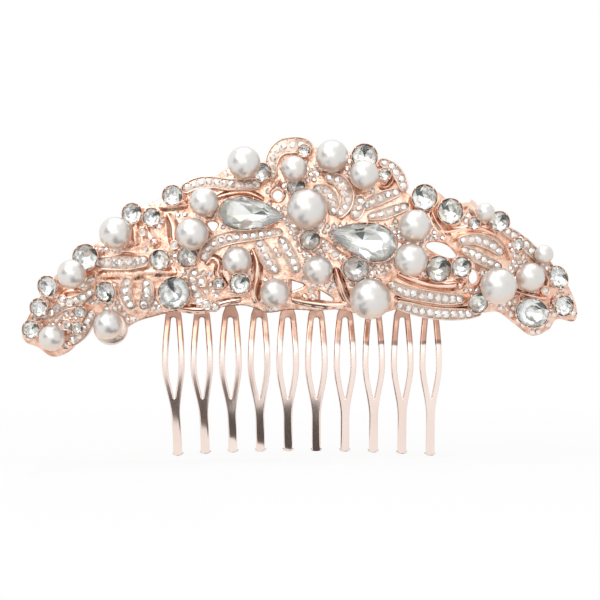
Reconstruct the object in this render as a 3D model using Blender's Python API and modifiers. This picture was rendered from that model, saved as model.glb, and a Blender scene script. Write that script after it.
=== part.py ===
"""Decorative hair comb: a cast openwork ornament set with pearls and crystals, on a stamped comb.

Metres, +Z up.  The ornament faces -Y, and the head is on the +Y side.  The origin is on the
middle surface of the comb, in the middle of its width, at the ornament's lower edge, where the
comb goes into the hair.  The ornament is drawn flat, as x across and z up, and then laid over a
shallow dome.  Heights are measured from the front of its plate, square to the dome.
"""

import math
from collections import namedtuple

import bmesh
import bpy
from mathutils import Matrix, Vector

MM = 0.001

# Dome that the ornament is pressed to
BOW_RADIUS = 180 * MM
DOME_RADIUS = 90 * MM
DOME_LEVEL = 10 * MM

# Cast plate and the channels raised on it
PLATE_THICKNESS = 1.4 * MM
PLATE_CELL = 11 * MM
CHANNEL_WIDTH = 2.6 * MM
CHANNEL_RISE = 1.5 * MM
CHANNEL_RIM = 0.4 * MM
CHANNEL_DEPTH = 0.5 * MM
CHANNEL_TIP = 0.55
CHANNEL_FOOT = 0.4
HOLDER_ROOT = 0.65

# Stamped comb
TOOTH_COUNT = 10
TOOTH_PITCH = 5.76 * MM
TOOTH_TIP = -28.4 * MM
TIP_SWEEP = 1.0 * MM
COMB_OFFSET = 0.4 * MM
COMB_THICKNESS = 0.9 * MM
BAR_BOTTOM = 6.2 * MM
BAR_HEIGHT = 3.8 * MM
ROOT_ARCH = 0.6 * MM
NECK_WIDTH = 1.7 * MM
NECK_LEVEL = 1.6 * MM
ROOT_WIDTH = 3.2 * MM
EYE_WIDTH = 4.4 * MM
STEM_WIDTH = 1.8 * MM
LEG_WIDTH = 1.1 * MM
SLOT_TOP = -1.8 * MM
SLOT_ARCH = 0.3 * MM
LEAST_SLOT = 0.2 * MM
EYE_LEVEL = -11 * MM
SLOT_BOTTOM = -19 * MM
SHOULDER_LEVEL = -2 * MM
KNEE_DROP = 6.5 * MM
KNEE_THROW = 1.2 * MM
TOOTH_RADIUS = 60 * MM
ROW_STEP = 3.6 * MM

# Fits
SOLDER_GAP = 0.3 * MM
SEAT_GAP = 0.3 * MM
NEIGHBOUR_GAP = 0.35 * MM
LIFT_STEP = 0.1 * MM
MAX_LIFT = 9 * MM
NEAR_SHARE = 1.5

# Tolerances of the mesh work
WELD = 0.001 * MM
CUT_SNAP = 0.002 * MM
LEAST_EDGE = 0.01 * MM
FLAT_ANGLE = 0.01

# Pearls, glued on pegs
PEARL_SIZE = {
    "giant": 8.2 * MM,
    "large": 7.4 * MM,
    "medium": 6.6 * MM,
    "small": 5.9 * MM,
    "petite": 5.3 * MM,
    "seed": 3.8 * MM,
}
PEG_RADIUS = 0.5 * MM
PEG_LENGTH = 1.2 * MM
POST_RADIUS = 0.8 * MM
POST_RISE = 0.6 * MM
PEARL_SIDES = 10
PEARL_RINGS = 5
POST_SIDES = 6

# Faceted stones, glued in cups
STONE_SIZE = {
    "large": 5.2 * MM,
    "medium": 4.1 * MM,
    "small": 3.7 * MM,
    "accent": 2.5 * MM,
}
CROWN_SHARE = 0.2
PAVILION_SHARE = 0.34
TABLE_SHARE = 0.58
CUP_WALL = 0.35 * MM
CUP_LIP = 0.15 * MM
CUP_FLOOR = 0.7 * MM
STEM_RADIUS = 0.55 * MM
STONE_SIDES = {"large": 10, "medium": 8, "small": 8, "accent": 6}
FANCY_SIDES = 12
PEAR_POINT = 0.9

# Discs that stand for the plan of a long stone: share of its reach, share of its half width
PEAR_DISCS = [(-1, 1), (0, 0.85), (0.6, 0.55), (1.3, 0.3)]
OVAL_DISCS = [(-1, 1), (1, 1)]
DISCS_PER_SPAN = 4

# Outline of the plate, in millimetres, clockwise from the left tip
PLATE_OUTLINE = [
    (-55.6, -4.0), (-52.4, 2.6), (-47.0, 9.6), (-39.4, 14.6), (-34.4, 19.6), (-27.0, 22.8),
    (-19.0, 25.6), (-12.0, 30.2), (-6.4, 29.6), (-4.2, 32.6), (0.0, 33.8), (5.0, 32.4),
    (13.0, 31.6), (18.4, 28.6), (21.6, 23.6), (28.0, 22.8), (37.0, 20.8), (41.0, 17.0),
    (47.6, 11.4), (52.6, 7.0), (55.2, 1.2), (52.0, -1.0), (46.6, -4.4), (40.6, 0.0),
    (31.0, -1.0), (21.0, 0.4), (14.0, 0.2), (3.0, 0.6), (-8.0, 1.2), (-16.0, 0.6),
    (-25.0, -0.2), (-32.6, -1.8), (-38.0, -5.4), (-42.6, -3.4), (-48.0, -8.2), (-53.0, -6.8),
]

# Openings through the plate, in millimetres: centre x, centre z, length, width, turn in degrees
OPENINGS = [
    (-4.5, 23.1, 2.0, 2.0, 0),
    (-17.4, 17.0, 1.7, 1.4, 40),
    (-0.9, 4.7, 2.6, 2.0, -30),
    (5.2, 2.6, 2.8, 1.9, -15),
    (28.6, 12.2, 6.0, 2.2, -14),
    (20.0, 13.0, 1.4, 1.1, 60),
    (35.0, 6.8, 3.0, 1.7, 100),
]

# Raised channels, in millimetres: share of the full width, then the points of the middle line
CHANNELS = {
    "arch": (1.05, [(-5.8, 27.6), (-4.6, 31.2), (-1.0, 33.2), (2.6, 30.6)]),
    "upper_left": (1.05, [(-24.4, 24.0), (-18.0, 25.4), (-11.0, 25.2), (-5.4, 26.2)]),
    "pear_hood": (0.6, [(-16.4, 22.4), (-11.0, 23.7), (-4.8, 21.4)]),
    "under_left_pear": (1.0, [(-20.4, 9.4), (-17.0, 13.8), (-10.0, 15.4), (-3.4, 15.6)]),
    "split_leaf_near": (0.85, [(-8.0, 13.6), (-6.8, 10.8), (-5.0, 7.8)]),
    "split_leaf_far": (0.85, [(-3.8, 13.6), (-2.6, 10.6), (-1.0, 7.6)]),
    "petal_inner": (1.15, [(5.6, 25.2), (6.2, 22.0), (4.8, 18.6)]),
    "petal_outer": (1.1, [(8.2, 27.0), (9.9, 23.6), (7.6, 18.2)]),
    "volute": (0.95, [(15.0, 29.2), (19.2, 27.8), (21.4, 22.8)]),
    "fork_upper": (0.85, [(11.2, 20.2), (15.4, 22.6), (19.6, 24.6)]),
    "fork_lower": (0.85, [(12.6, 18.6), (17.0, 19.4), (21.6, 21.6)]),
    "right_leaf_upper": (0.85, [(31.0, 13.4), (36.6, 14.4), (42.2, 10.4)]),
    "right_leaf_lower": (0.85, [(31.4, 12.8), (36.4, 10.2), (42.0, 8.6)]),
    "lower_right_upper": (1.0, [(17.4, 4.8), (24.0, 3.2), (34.0, 2.6)]),
    "lower_right_lower": (0.9, [(18.2, 1.4), (26.0, -1.0), (35.0, -0.6)]),
    "left_band": (1.05, [(-40.8, 9.2), (-35.0, 9.3), (-29.6, 10.4)]),
    "left_fork_near": (0.85, [(-33.6, 5.4), (-34.4, 2.2), (-33.0, -0.8)]),
    "left_fork_far": (0.85, [(-31.2, 5.4), (-30.6, 2.4), (-31.8, -0.8)]),
    "left_leaf": (0.95, [(-48.0, -7.6), (-43.6, -4.4), (-40.6, 1.8)]),
    "left_end": (1.0, [(-54.0, -2.6), (-48.0, 0.6), (-42.2, 4.2)]),
    "lower_scroll": (0.9, [(-20.6, 8.2), (-21.4, 4.0), (-16.0, 0.6)]),
    "under_right_pear": (0.7, [(4.2, 14.2), (7.0, 11.4), (10.0, 9.4)]),
    "right_rim": (0.85, [(41.0, 16.2), (47.0, 11.4), (51.4, 3.8)]),
}

# Long stones, in millimetres: outline, x, z, length, width, turn of the pointed end in degrees
FANCY_STONES = {
    "pear_stone_left": ("pear", -9.6, 19.2, 13.4, 6.8, -5),
    "pear_stone_right": ("pear", 12.6, 14.0, 14.0, 7.6, 166),
    "drop_stone_left": ("oval", -25.2, 3.4, 6.8, 6.2, 225),
    "oval_stone_right": ("oval", 46.8, -0.6, 7.0, 5.8, -20),
    "oval_stone_rim": ("oval", 52.2, 6.6, 4.8, 3.6, -55),
}

# Round stones, in millimetres: size, x, z
ROUND_STONES = {
    "stone_top_right": ("large", 13.0, 30.8),
    "stone_left_shoulder": ("large", -43.2, 10.6),
    "stone_under_pear": ("large", 11.2, 8.2),
    "stone_right_crest_inner": ("large", 25.0, 22.6),
    "stone_right_crest_outer": ("large", 30.2, 19.8),
    "stone_right_inner": ("large", 27.8, 8.2),
    "stone_left_crest": ("medium", -25.6, 23.0),
    "stone_left_rim_outer": ("medium", -33.8, 19.4),
    "stone_left_end_upper": ("medium", -51.0, 4.8),
    "stone_left_vein": ("medium", -39.2, 3.6),
    "stone_left_band_outer": ("medium", -28.2, 10.0),
    "stone_left_band_inner": ("medium", -22.6, 10.6),
    "stone_centre": ("medium", 2.0, 14.0),
    "stone_right_rim": ("medium", 40.2, 17.8),
    "stone_right_middle": ("medium", 32.4, 8.6),
    "stone_right_lower": ("medium", 35.8, 1.4),
    "stone_right_tip": ("medium", 53.4, 0.8),
    "stone_left_rim_inner": ("small", -29.8, 18.6),
    "stone_left_end_middle": ("small", -52.8, 0.4),
    "stone_left_tip": ("small", -54.4, -4.0),
    "stone_top_left": ("small", -7.6, 27.6),
    "stone_crown": ("small", -0.8, 24.6),
    "stone_arch": ("accent", 0.8, 32.0),
    "stone_left_fan_upper": ("accent", -44.4, -0.4),
    "stone_left_fan_lower": ("accent", -45.0, -3.6),
    "stone_scroll": ("accent", -16.4, 5.2),
    "stone_volute": ("accent", 17.0, 27.2),
    "stone_right_crest_end": ("accent", 35.0, 17.4),
    "stone_right_shoulder": ("accent", 44.0, 13.2),
}

# Pearls, in millimetres: size, x, z
PEARLS = {
    "pearl_crown": ("giant", 1.4, 20.2),
    "pearl_lower_right": ("giant", 14.0, 2.2),
    "pearl_right": ("large", 39.8, 4.8),
    "pearl_top_right": ("medium", 6.4, 30.8),
    "pearl_right_upper": ("medium", 23.0, 16.8),
    "pearl_right_lower": ("medium", 22.2, 10.0),
    "pearl_top_left": ("medium", -11.2, 29.4),
    "pearl_left_inner": ("medium", -21.6, 15.2),
    "pearl_left_outer": ("medium", -37.0, 15.4),
    "pearl_lower_left": ("small", -5.0, 3.4),
    "pearl_left_middle": ("small", -12.6, 9.8),
    "pearl_lower_middle": ("small", 3.6, 8.0),
    "pearl_upper_right": ("small", 12.8, 27.0),
    "pearl_upper_left": ("small", -19.2, 21.6),
    "pearl_right_end": ("small", 46.4, 6.6),
    "pearl_left_end": ("small", -45.8, 7.2),
    "pearl_left_drop": ("small", -38.6, -3.0),
    "pearl_arch": ("petite", -1.2, 28.2),
    "pearl_left_tip": ("petite", -50.0, -5.6),
    "pearl_right_rim": ("seed", 49.2, 11.2),
    "pearl_right_crest": ("seed", 37.2, 19.6),
}

# One stone stands in front of a pearl, so it is set after the pearls
FRONT_STONES = {
    "stone_lower_left": ("medium", -12.0, 5.2),
}

# A piece to be set: its footprint discs, how wide it and its metal are above its seat, its lowest
# seat, the height over its seat at which it is drawn in its place, and the tilt of its axis
Setting = namedtuple("Setting", "discs gem metal seat middle tilt")


def dome(x, z):
    """How far the dome falls back behind its foremost point."""
    return x * x / (2 * BOW_RADIUS) + (z - DOME_LEVEL) ** 2 / (2 * DOME_RADIUS)


COMB_SETBACK = PLATE_THICKNESS + SOLDER_GAP + COMB_THICKNESS / 2
DOME_FRONT = -COMB_SETBACK - dome(0, 0)


def dome_out(x, z, tilt=1):
    """Out of the front: square to the dome, or with no tilt straight to the front."""
    return Vector((tilt * x / BOW_RADIUS, -1, tilt * (z - DOME_LEVEL) / DOME_RADIUS)).normalized()


def dome_frame(x, z, height, tilt=1):
    """A frame on the dome: its first axis across, its second up, its third out of the front."""
    out = dome_out(x, z, tilt)
    across = Vector((-out.y, out.x, 0)).normalized()
    up = out.cross(across)
    place = Vector((x, DOME_FRONT + dome(x, z), z)) + out * height
    turn = Matrix((across, up, out)).transposed()
    return Matrix.Translation(place) @ turn.to_4x4()


def comb_point(x, z):
    """A point of the comb's middle surface: it follows the dome, steps forward and sweeps back."""
    if z >= SHOULDER_LEVEL:
        return Vector((x, DOME_FRONT + COMB_SETBACK + dome(x, z), z))
    drop = SHOULDER_LEVEL - z
    share = min(drop / KNEE_DROP, 1)
    throw = KNEE_THROW * share * share * (3 - 2 * share)
    sweep = max(drop - KNEE_DROP, 0) ** 2 / (2 * TOOTH_RADIUS)
    back = DOME_FRONT + COMB_SETBACK + dome(x, SHOULDER_LEVEL)
    return Vector((x, back - throw + sweep, z))


def clear_scene():
    for obj in list(bpy.data.objects):
        bpy.data.objects.remove(obj, do_unlink=True)


def new_collection(name):
    collection = bpy.data.collections.new(name)
    bpy.context.scene.collection.children.link(collection)
    return collection


def finish(name, colour, roughness, metallic):
    """A Principled material."""
    material = bpy.data.materials.new(name)
    material.use_nodes = True
    shader = material.node_tree.nodes["Principled BSDF"]
    shader.inputs["Base Color"].default_value = (*colour, 1)
    shader.inputs["Roughness"].default_value = roughness
    shader.inputs["Metallic"].default_value = metallic
    return material


def add_object(name, data, collection, material=None):
    obj = bpy.data.objects.new(name, data)
    collection.objects.link(obj)
    if material:
        data.materials.append(material)
    return obj


def as_guide(obj):
    """Marks an object that only helps to shape another."""
    obj.hide_render = True
    obj.display_type = "WIRE"
    return obj


def evaluated_mesh(obj, name):
    """The object's mesh with its modifiers or bevel applied; the object is removed."""
    graph = bpy.context.evaluated_depsgraph_get()
    mesh = bpy.data.meshes.new_from_object(obj.evaluated_get(graph), depsgraph=graph)
    mesh.name = name
    bpy.data.objects.remove(obj, do_unlink=True)
    bm = bmesh.new()
    bm.from_mesh(mesh)
    bmesh.ops.remove_doubles(bm, verts=bm.verts, dist=WELD)
    bm.to_mesh(mesh)
    bm.free()
    return mesh


def turned_mesh(name, profile, sides):
    """A solid of revolution about Z: a profile of radius and height, run down its outer side."""
    mesh = bpy.data.meshes.new(name)
    points = [(radius, 0, height) for radius, height in profile]
    mesh.from_pydata(points, [(i, i + 1) for i in range(len(points) - 1)], [])
    obj = add_object(name, mesh, bpy.context.scene.collection)
    screw = obj.modifiers.new("Turn", "SCREW")
    screw.axis = "Z"
    screw.steps = round(sides)
    screw.render_steps = round(sides)
    screw.use_merge_vertices = True
    screw.merge_threshold = WELD
    return evaluated_mesh(obj, name)


def flat_curve(name, loops, collection):
    """A filled flat curve whose loops after the first are holes."""
    curve = bpy.data.curves.new(name, "CURVE")
    curve.dimensions = "2D"
    curve.fill_mode = "FRONT"
    for points in loops:
        spline = curve.splines.new("POLY")
        spline.points.add(len(points) - 1)
        spline.use_cyclic_u = True
        for point, (x, z) in zip(spline.points, points):
            point.co = (x, z, 0, 1)
    return add_object(name, curve, collection)


def cut_along(mesh, cuts_x, cuts_z):
    """Adds edges along lines of the flat mesh, so that it can be bent there."""
    bm = bmesh.new()
    bm.from_mesh(mesh)
    lines = [((x, 0, 0), (1, 0, 0)) for x in cuts_x]
    lines += [((0, z, 0), (0, 1, 0)) for z in cuts_z]
    for place, normal in lines:
        geometry = bm.verts[:] + bm.edges[:] + bm.faces[:]
        bmesh.ops.bisect_plane(bm, geom=geometry, dist=CUT_SNAP, plane_co=place, plane_no=normal)
        bmesh.ops.dissolve_degenerate(bm, edges=bm.edges, dist=LEAST_EDGE)
    between_lines = [
        edge for edge in bm.edges
        if not edge.is_boundary and not any(lies_on(edge, place, normal) for place, normal in lines)
    ]
    bmesh.ops.dissolve_limit(bm, angle_limit=FLAT_ANGLE, verts=[], edges=between_lines)
    bm.to_mesh(mesh)
    bm.free()


def lies_on(edge, place, normal):
    """Whether an edge of a flat mesh runs along a line."""
    ends = [(vertex.co - Vector(place)).dot(Vector(normal)) for vertex in edge.verts]
    return max(abs(end) for end in ends) < LEAST_EDGE


def bend(mesh, placed):
    """Moves each point of a flat mesh, drawn as x and z, to where the function puts it."""
    for vertex in mesh.vertices:
        vertex.co = placed(vertex.co)
    mesh.update()


def smooth_loop(points, steps):
    """A closed smooth loop through the points."""
    loop = []
    count = len(points)
    for i in range(count):
        a, b, c, d = (Vector(points[(i + k) % count]) for k in (-1, 0, 1, 2))
        for step in range(steps):
            t = step / steps
            bow = (2 * a - 5 * b + 4 * c - d) * t * t + (3 * b - a - 3 * c + d) * t ** 3
            loop.append((2 * b + (c - a) * t + bow) * 0.5)
    return loop


def oval_loop(x, z, length, width, turn, count=8):
    """A turned oval, for an opening."""
    angle = math.radians(turn)
    loop = []
    for i in range(count):
        phase = 2 * math.pi * i / count
        along = length / 2 * math.cos(phase)
        side = width / 2 * math.sin(phase)
        loop.append((
            x + along * math.cos(angle) - side * math.sin(angle),
            z + along * math.sin(angle) + side * math.cos(angle),
        ))
    return loop


def in_mm(points):
    return [(x * MM, z * MM) for x, z in points]


def steps_between(start, end, step):
    """Evenly spaced values strictly between two ends, no further apart than the step."""
    count = math.ceil(abs(end - start) / step)
    return [start + (end - start) * i / count for i in range(1, count)]


def tooth_half_width(z):
    """Half the width over a tooth: narrow neck, root, swelling round the eye, narrow stem."""
    neck, root, eye, stem = NECK_WIDTH / 2, ROOT_WIDTH / 2, EYE_WIDTH / 2, STEM_WIDTH / 2
    if z >= NECK_LEVEL:
        return neck
    if z >= SLOT_TOP:
        share = (NECK_LEVEL - z) / (NECK_LEVEL - SLOT_TOP)
        return neck + (root - neck) * share * share * (3 - 2 * share)
    if z >= EYE_LEVEL:
        share = (SLOT_TOP - z) / (SLOT_TOP - EYE_LEVEL)
        return root + (eye - root) * math.sin(share * math.pi / 2)
    share = min((EYE_LEVEL - z) / (EYE_LEVEL - SLOT_BOTTOM), 1)
    return stem + (eye - stem) * (1 + math.cos(share * math.pi)) / 2


def tooth_rows():
    """Heights at which a tooth is bent or changes width, from its neck down to its stem."""
    knee = SHOULDER_LEVEL - KNEE_DROP
    rows = [NECK_LEVEL, (NECK_LEVEL + SHOULDER_LEVEL) / 2, SHOULDER_LEVEL]
    rows += steps_between(SHOULDER_LEVEL, knee, ROW_STEP)
    rows += [knee]
    rows += steps_between(knee, SLOT_BOTTOM, ROW_STEP)
    rows += [SLOT_BOTTOM]
    return sorted(set(rows), reverse=True)


def slot_loop(x):
    """The eye of a tooth, which closes where the two legs meet."""
    rows = [
        z for z in tooth_rows()
        if z < SLOT_TOP and 2 * (tooth_half_width(z) - LEG_WIDTH) > LEAST_SLOT
    ]
    left = [(x - tooth_half_width(z) + LEG_WIDTH, z) for z in rows]
    right = [(x + tooth_half_width(z) - LEG_WIDTH, z) for z in rows]
    top = [(x, SLOT_TOP + SLOT_ARCH)]
    bottom = [(x, rows[-1] - LEG_WIDTH)]
    return top + left + bottom + right[::-1]


def comb_outline(centres):
    """Round the comb: along the top of the bar, then down and up each tooth from right to left."""
    half_bar = TOOTH_PITCH * (TOOTH_COUNT - 1) / 2 + ROOT_WIDTH / 2
    bar_top = BAR_BOTTOM + BAR_HEIGHT
    loop = [(COMB_OFFSET - half_bar, bar_top), (COMB_OFFSET + half_bar, bar_top)]
    round_tip = STEM_WIDTH / 2
    diagonal = math.sqrt(0.5)
    for x, tip in reversed(centres):
        rows = [BAR_BOTTOM] + tooth_rows()
        right = [(x + tooth_half_width(z), z) for z in rows]
        right += [
            (x + round_tip, tip + round_tip),
            (x + round_tip * diagonal, tip + round_tip * (1 - diagonal)),
        ]
        left = [(2 * x - px, z) for px, z in reversed(right)]
        arch = [(x - TOOTH_PITCH / 2, BAR_BOTTOM + ROOT_ARCH)]
        loop += right + [(x, tip)] + left + arch
    return loop[:-1]


def build_comb(parts, material):
    """The stamped comb: a bar and teeth with eyes, cut from sheet and bent in one press."""
    centres = []
    half_count = (TOOTH_COUNT - 1) / 2
    for i in range(TOOTH_COUNT):
        place = (i - half_count) / half_count
        x = COMB_OFFSET + (i - half_count) * TOOTH_PITCH
        centres.append((x, TOOTH_TIP - TIP_SWEEP * place * place))
    loops = [comb_outline(centres)] + [slot_loop(x) for x, _ in centres]
    mesh = evaluated_mesh(flat_curve("comb_sheet", loops, parts), "comb")
    between = [x + TOOTH_PITCH / 2 for x, _ in centres[:-1]]
    stem_rows = steps_between(SLOT_BOTTOM, TOOTH_TIP, ROW_STEP)
    cut_along(mesh, between, tooth_rows() + [BAR_BOTTOM] + stem_rows)
    bend(mesh, lambda co: comb_point(co.x, co.y))
    comb = add_object("comb", mesh, parts, material)
    sheet = comb.modifiers.new("Sheet", "SOLIDIFY")
    sheet.thickness = COMB_THICKNESS
    sheet.offset = 0
    sheet.use_even_offset = True
    return comb


def channel_profile(guides):
    """Section of a raised channel: two rims and a sunk floor, with a foot inside the plate."""
    half = CHANNEL_WIDTH / 2
    rise = CHANNEL_RISE
    inner = half - CHANNEL_RIM
    foot = -PLATE_THICKNESS * CHANNEL_FOOT
    floor = rise - CHANNEL_DEPTH
    points = [
        (-half, foot), (half, foot), (half, rise), (inner, floor), (-inner, floor), (-half, rise),
    ]
    curve = bpy.data.curves.new("channel_section", "CURVE")
    curve.dimensions = "2D"
    curve.fill_mode = "NONE"
    spline = curve.splines.new("POLY")
    spline.points.add(len(points) - 1)
    spline.use_cyclic_u = True
    for point, (x, y) in zip(spline.points, points):
        point.co = (x, y, 0, 1)
    return as_guide(add_object("channel_section", curve, guides))


def build_channel(name, share, points, section, guides):
    """A raised channel swept along its middle line and laid over the dome."""
    curve = bpy.data.curves.new(name, "CURVE")
    curve.dimensions = "2D"
    curve.bevel_mode = "OBJECT"
    curve.bevel_object = section
    curve.use_fill_caps = True
    curve.resolution_u = 3
    spline = curve.splines.new("BEZIER")
    spline.bezier_points.add(len(points) - 1)
    for i, (point, (x, z)) in enumerate(zip(spline.bezier_points, in_mm(points))):
        point.co = (x, z, 0)
        point.handle_left_type = "AUTO"
        point.handle_right_type = "AUTO"
        point.radius = share * (CHANNEL_TIP if i in (0, len(points) - 1) else 1)
    mesh = evaluated_mesh(add_object(name, curve, guides), name)
    bend(mesh, lambda co: dome_frame(co.x, co.y, co.z).translation)
    bm = bmesh.new()
    bm.from_mesh(mesh)
    bmesh.ops.recalc_face_normals(bm, faces=bm.faces)
    bm.to_mesh(mesh)
    bm.free()
    return as_guide(add_object(name, mesh, guides))


def channel_discs(share, points):
    """Discs along a channel that stand for the room it takes."""
    radius = share * CHANNEL_WIDTH / 2
    discs = []
    path = in_mm(points)
    for (x0, z0), (x1, z1) in zip(path, path[1:]):
        for step in range(DISCS_PER_SPAN):
            t = step / (DISCS_PER_SPAN - 1)
            discs.append((x0 + (x1 - x0) * t, z0 + (z1 - z0) * t, radius))
    rise = share * CHANNEL_RISE
    return Setting(discs, lambda h: None, lambda h: 1 if h <= rise else None, 0, 0, 1)


def pearl_setting(x, z, size):
    """Room taken by a pearl above its seat, and by its post below it."""
    radius = size / 2

    def gem(h):
        if 0 <= h <= size:
            return math.sqrt(max(radius * radius - (h - radius) ** 2, 0)) / radius
        return None

    def post(h):
        return POST_RADIUS / radius if h < 0 else None

    return Setting([(x, z, radius)], gem, post, POST_RISE, radius, 0)


def cup_radius(radius):
    return radius + SEAT_GAP + CUP_WALL


def stone_setting(discs, width):
    """Room taken by a stone above its seat, and by its cup and stem."""
    radius = width / 2
    pavilion = width * PAVILION_SHARE
    crown = width * CROWN_SHARE
    cup = cup_radius(radius) / radius
    stem = STEM_RADIUS / radius

    def gem(h):
        if 0 <= h <= pavilion:
            return h / pavilion
        if pavilion < h <= pavilion + crown:
            return 1 - (1 - TABLE_SHARE) * (h - pavilion) / crown
        return None

    def metal(h):
        if h < -CUP_FLOOR:
            return stem
        if h <= pavilion + CUP_LIP:
            return stem + (cup - stem) * (h + CUP_FLOOR) / (pavilion + CUP_LIP + CUP_FLOOR)
        return None

    return Setting(discs, gem, metal, CUP_FLOOR, pavilion, 1)


def leaning(x, z, rise, tilt):
    """Where a piece's axis passes, at a rise over the middle of the piece."""
    out = dome_out(x, z, tilt)
    return x + out.x * rise, z + out.z * rise


def clear_of(setting, seat, other, other_seat):
    """Whether a piece at a seat height keeps its gap to a neighbour at every height."""
    for x0, z0, r0 in setting.discs:
        for x1, z1, r1 in other.discs:
            if math.hypot(x1 - x0, z1 - z0) - NEIGHBOUR_GAP > (r0 + r1) * NEAR_SHARE:
                continue
            height = 0
            while height < MAX_LIFT * 2:
                here = leaning(x0, z0, height - seat - setting.middle, setting.tilt)
                there = leaning(x1, z1, height - other_seat - other.middle, other.tilt)
                room = math.dist(here, there) - NEIGHBOUR_GAP
                own = [part(height - seat) for part in (setting.gem, setting.metal)]
                near = [part(height - other_seat) for part in (other.gem, other.metal)]
                for a in range(2):
                    for b in range(2):
                        both_metal = a == 1 and b == 1
                        if both_metal or own[a] is None or near[b] is None:
                            continue
                        if own[a] * r0 + near[b] * r1 > room:
                            return False
                height += LIFT_STEP * 2
    return True


def seat_height(setting, placed):
    """The lowest seat at which a piece is clear of everything set before it."""
    seat = setting.seat
    while seat < MAX_LIFT:
        if all(clear_of(setting, seat, other, other_seat) for other, other_seat in placed):
            return seat
        seat += LIFT_STEP
    return seat


def long_reach(radius, length, width):
    """How far along a long stone a radius of its round plan reaches; the cup's wall isn't drawn out."""
    seat = width / 2 + SEAT_GAP
    return radius + (length / width - 1) * min(radius, seat)


def pear_shape(length, width):
    """Turns a round plan into a pear with its point along +X."""
    steepest = math.acos(1 / math.sqrt(2 + PEAR_POINT))
    widest = math.sin(2 * steepest) * math.sin(steepest) ** PEAR_POINT

    def shaped(co):
        angle = math.atan2(co.y, co.x)
        radius = math.hypot(co.x, co.y)
        side = math.sin(angle) * abs(math.sin(angle / 2)) ** PEAR_POINT / widest
        along = long_reach(radius, length, width) * math.cos(angle)
        return Vector((along, radius * side, co.z))

    return shaped


def oval_shape(length, width):
    def shaped(co):
        angle = math.atan2(co.y, co.x)
        along = long_reach(math.hypot(co.x, co.y), length, width) * math.cos(angle)
        return Vector((along, co.y, co.z))

    return shaped


def stone_profile(width):
    """A cut stone: flat table, sloping crown and pointed pavilion, seated on its point."""
    radius = width / 2
    girdle = width * PAVILION_SHARE
    table = girdle + width * CROWN_SHARE
    return [(0, table), (radius * TABLE_SHARE, table), (radius, girdle), (0, 0)]


def cup_profile(width, seat):
    """A cup that leaves the seat gap all round a stone, on a stem that ends inside the plate."""
    radius = width / 2
    girdle = width * PAVILION_SHARE
    floor = -SEAT_GAP * math.hypot(radius, girdle) / radius
    rim = girdle + CUP_LIP
    outer = cup_radius(radius)
    root = -seat - PLATE_THICKNESS * HOLDER_ROOT
    return [
        (0, floor), (radius + SEAT_GAP, rim), (outer, rim),
        (STEM_RADIUS, -CUP_FLOOR), (STEM_RADIUS, root), (0, root),
    ]


def pearl_profile(size):
    """A pearl drilled half through for its peg."""
    radius = size / 2
    hole = PEG_RADIUS + SEAT_GAP
    last = math.pi - math.asin(hole / radius)
    angles = [last * i / PEARL_RINGS for i in range(PEARL_RINGS + 1)]
    profile = [(radius * math.sin(a), radius + radius * math.cos(a)) for a in angles]
    end = PEG_LENGTH + SEAT_GAP
    return profile + [(hole, end), (0, end)]


def post_profile(seat):
    """A post up to a pearl, and the peg that goes into it."""
    root = -seat - PLATE_THICKNESS * HOLDER_ROOT
    return [
        (0, PEG_LENGTH), (PEG_RADIUS, PEG_LENGTH), (PEG_RADIUS, -SEAT_GAP),
        (POST_RADIUS, -SEAT_GAP), (POST_RADIUS, root), (0, root),
    ]


def build_plate(parts, material):
    """The openwork plate, pressed to the dome."""
    outline = smooth_loop(in_mm(PLATE_OUTLINE), 2)
    holes = [
        oval_loop(x * MM, z * MM, length * MM, width * MM, turn)
        for x, z, length, width, turn in OPENINGS
    ]
    mesh = evaluated_mesh(flat_curve("plate_sheet", [outline] + holes, parts), "cast_frame")
    xs = [co[0] for co in outline]
    zs = [co[1] for co in outline]
    cut_along(
        mesh,
        steps_between(min(xs), max(xs), PLATE_CELL),
        steps_between(min(zs), max(zs), PLATE_CELL),
    )
    bend(mesh, lambda co: dome_frame(co.x, co.y, 0).translation)
    plate = add_object("cast_frame", mesh, parts, material)
    sheet = plate.modifiers.new("Sheet", "SOLIDIFY")
    sheet.thickness = PLATE_THICKNESS
    sheet.offset = -1
    sheet.use_even_offset = True
    return plate


def fancy_discs(outline, x, z, length, width, turn):
    """Discs along a long stone that stand for its plan."""
    angle = math.radians(turn)
    half = width / 2
    reach = length / 2 - half
    shares = PEAR_DISCS if outline == "pear" else OVAL_DISCS
    return [
        (x + along * reach * math.cos(angle), z + along * reach * math.sin(angle), half * share)
        for along, share in shares
    ]


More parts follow.
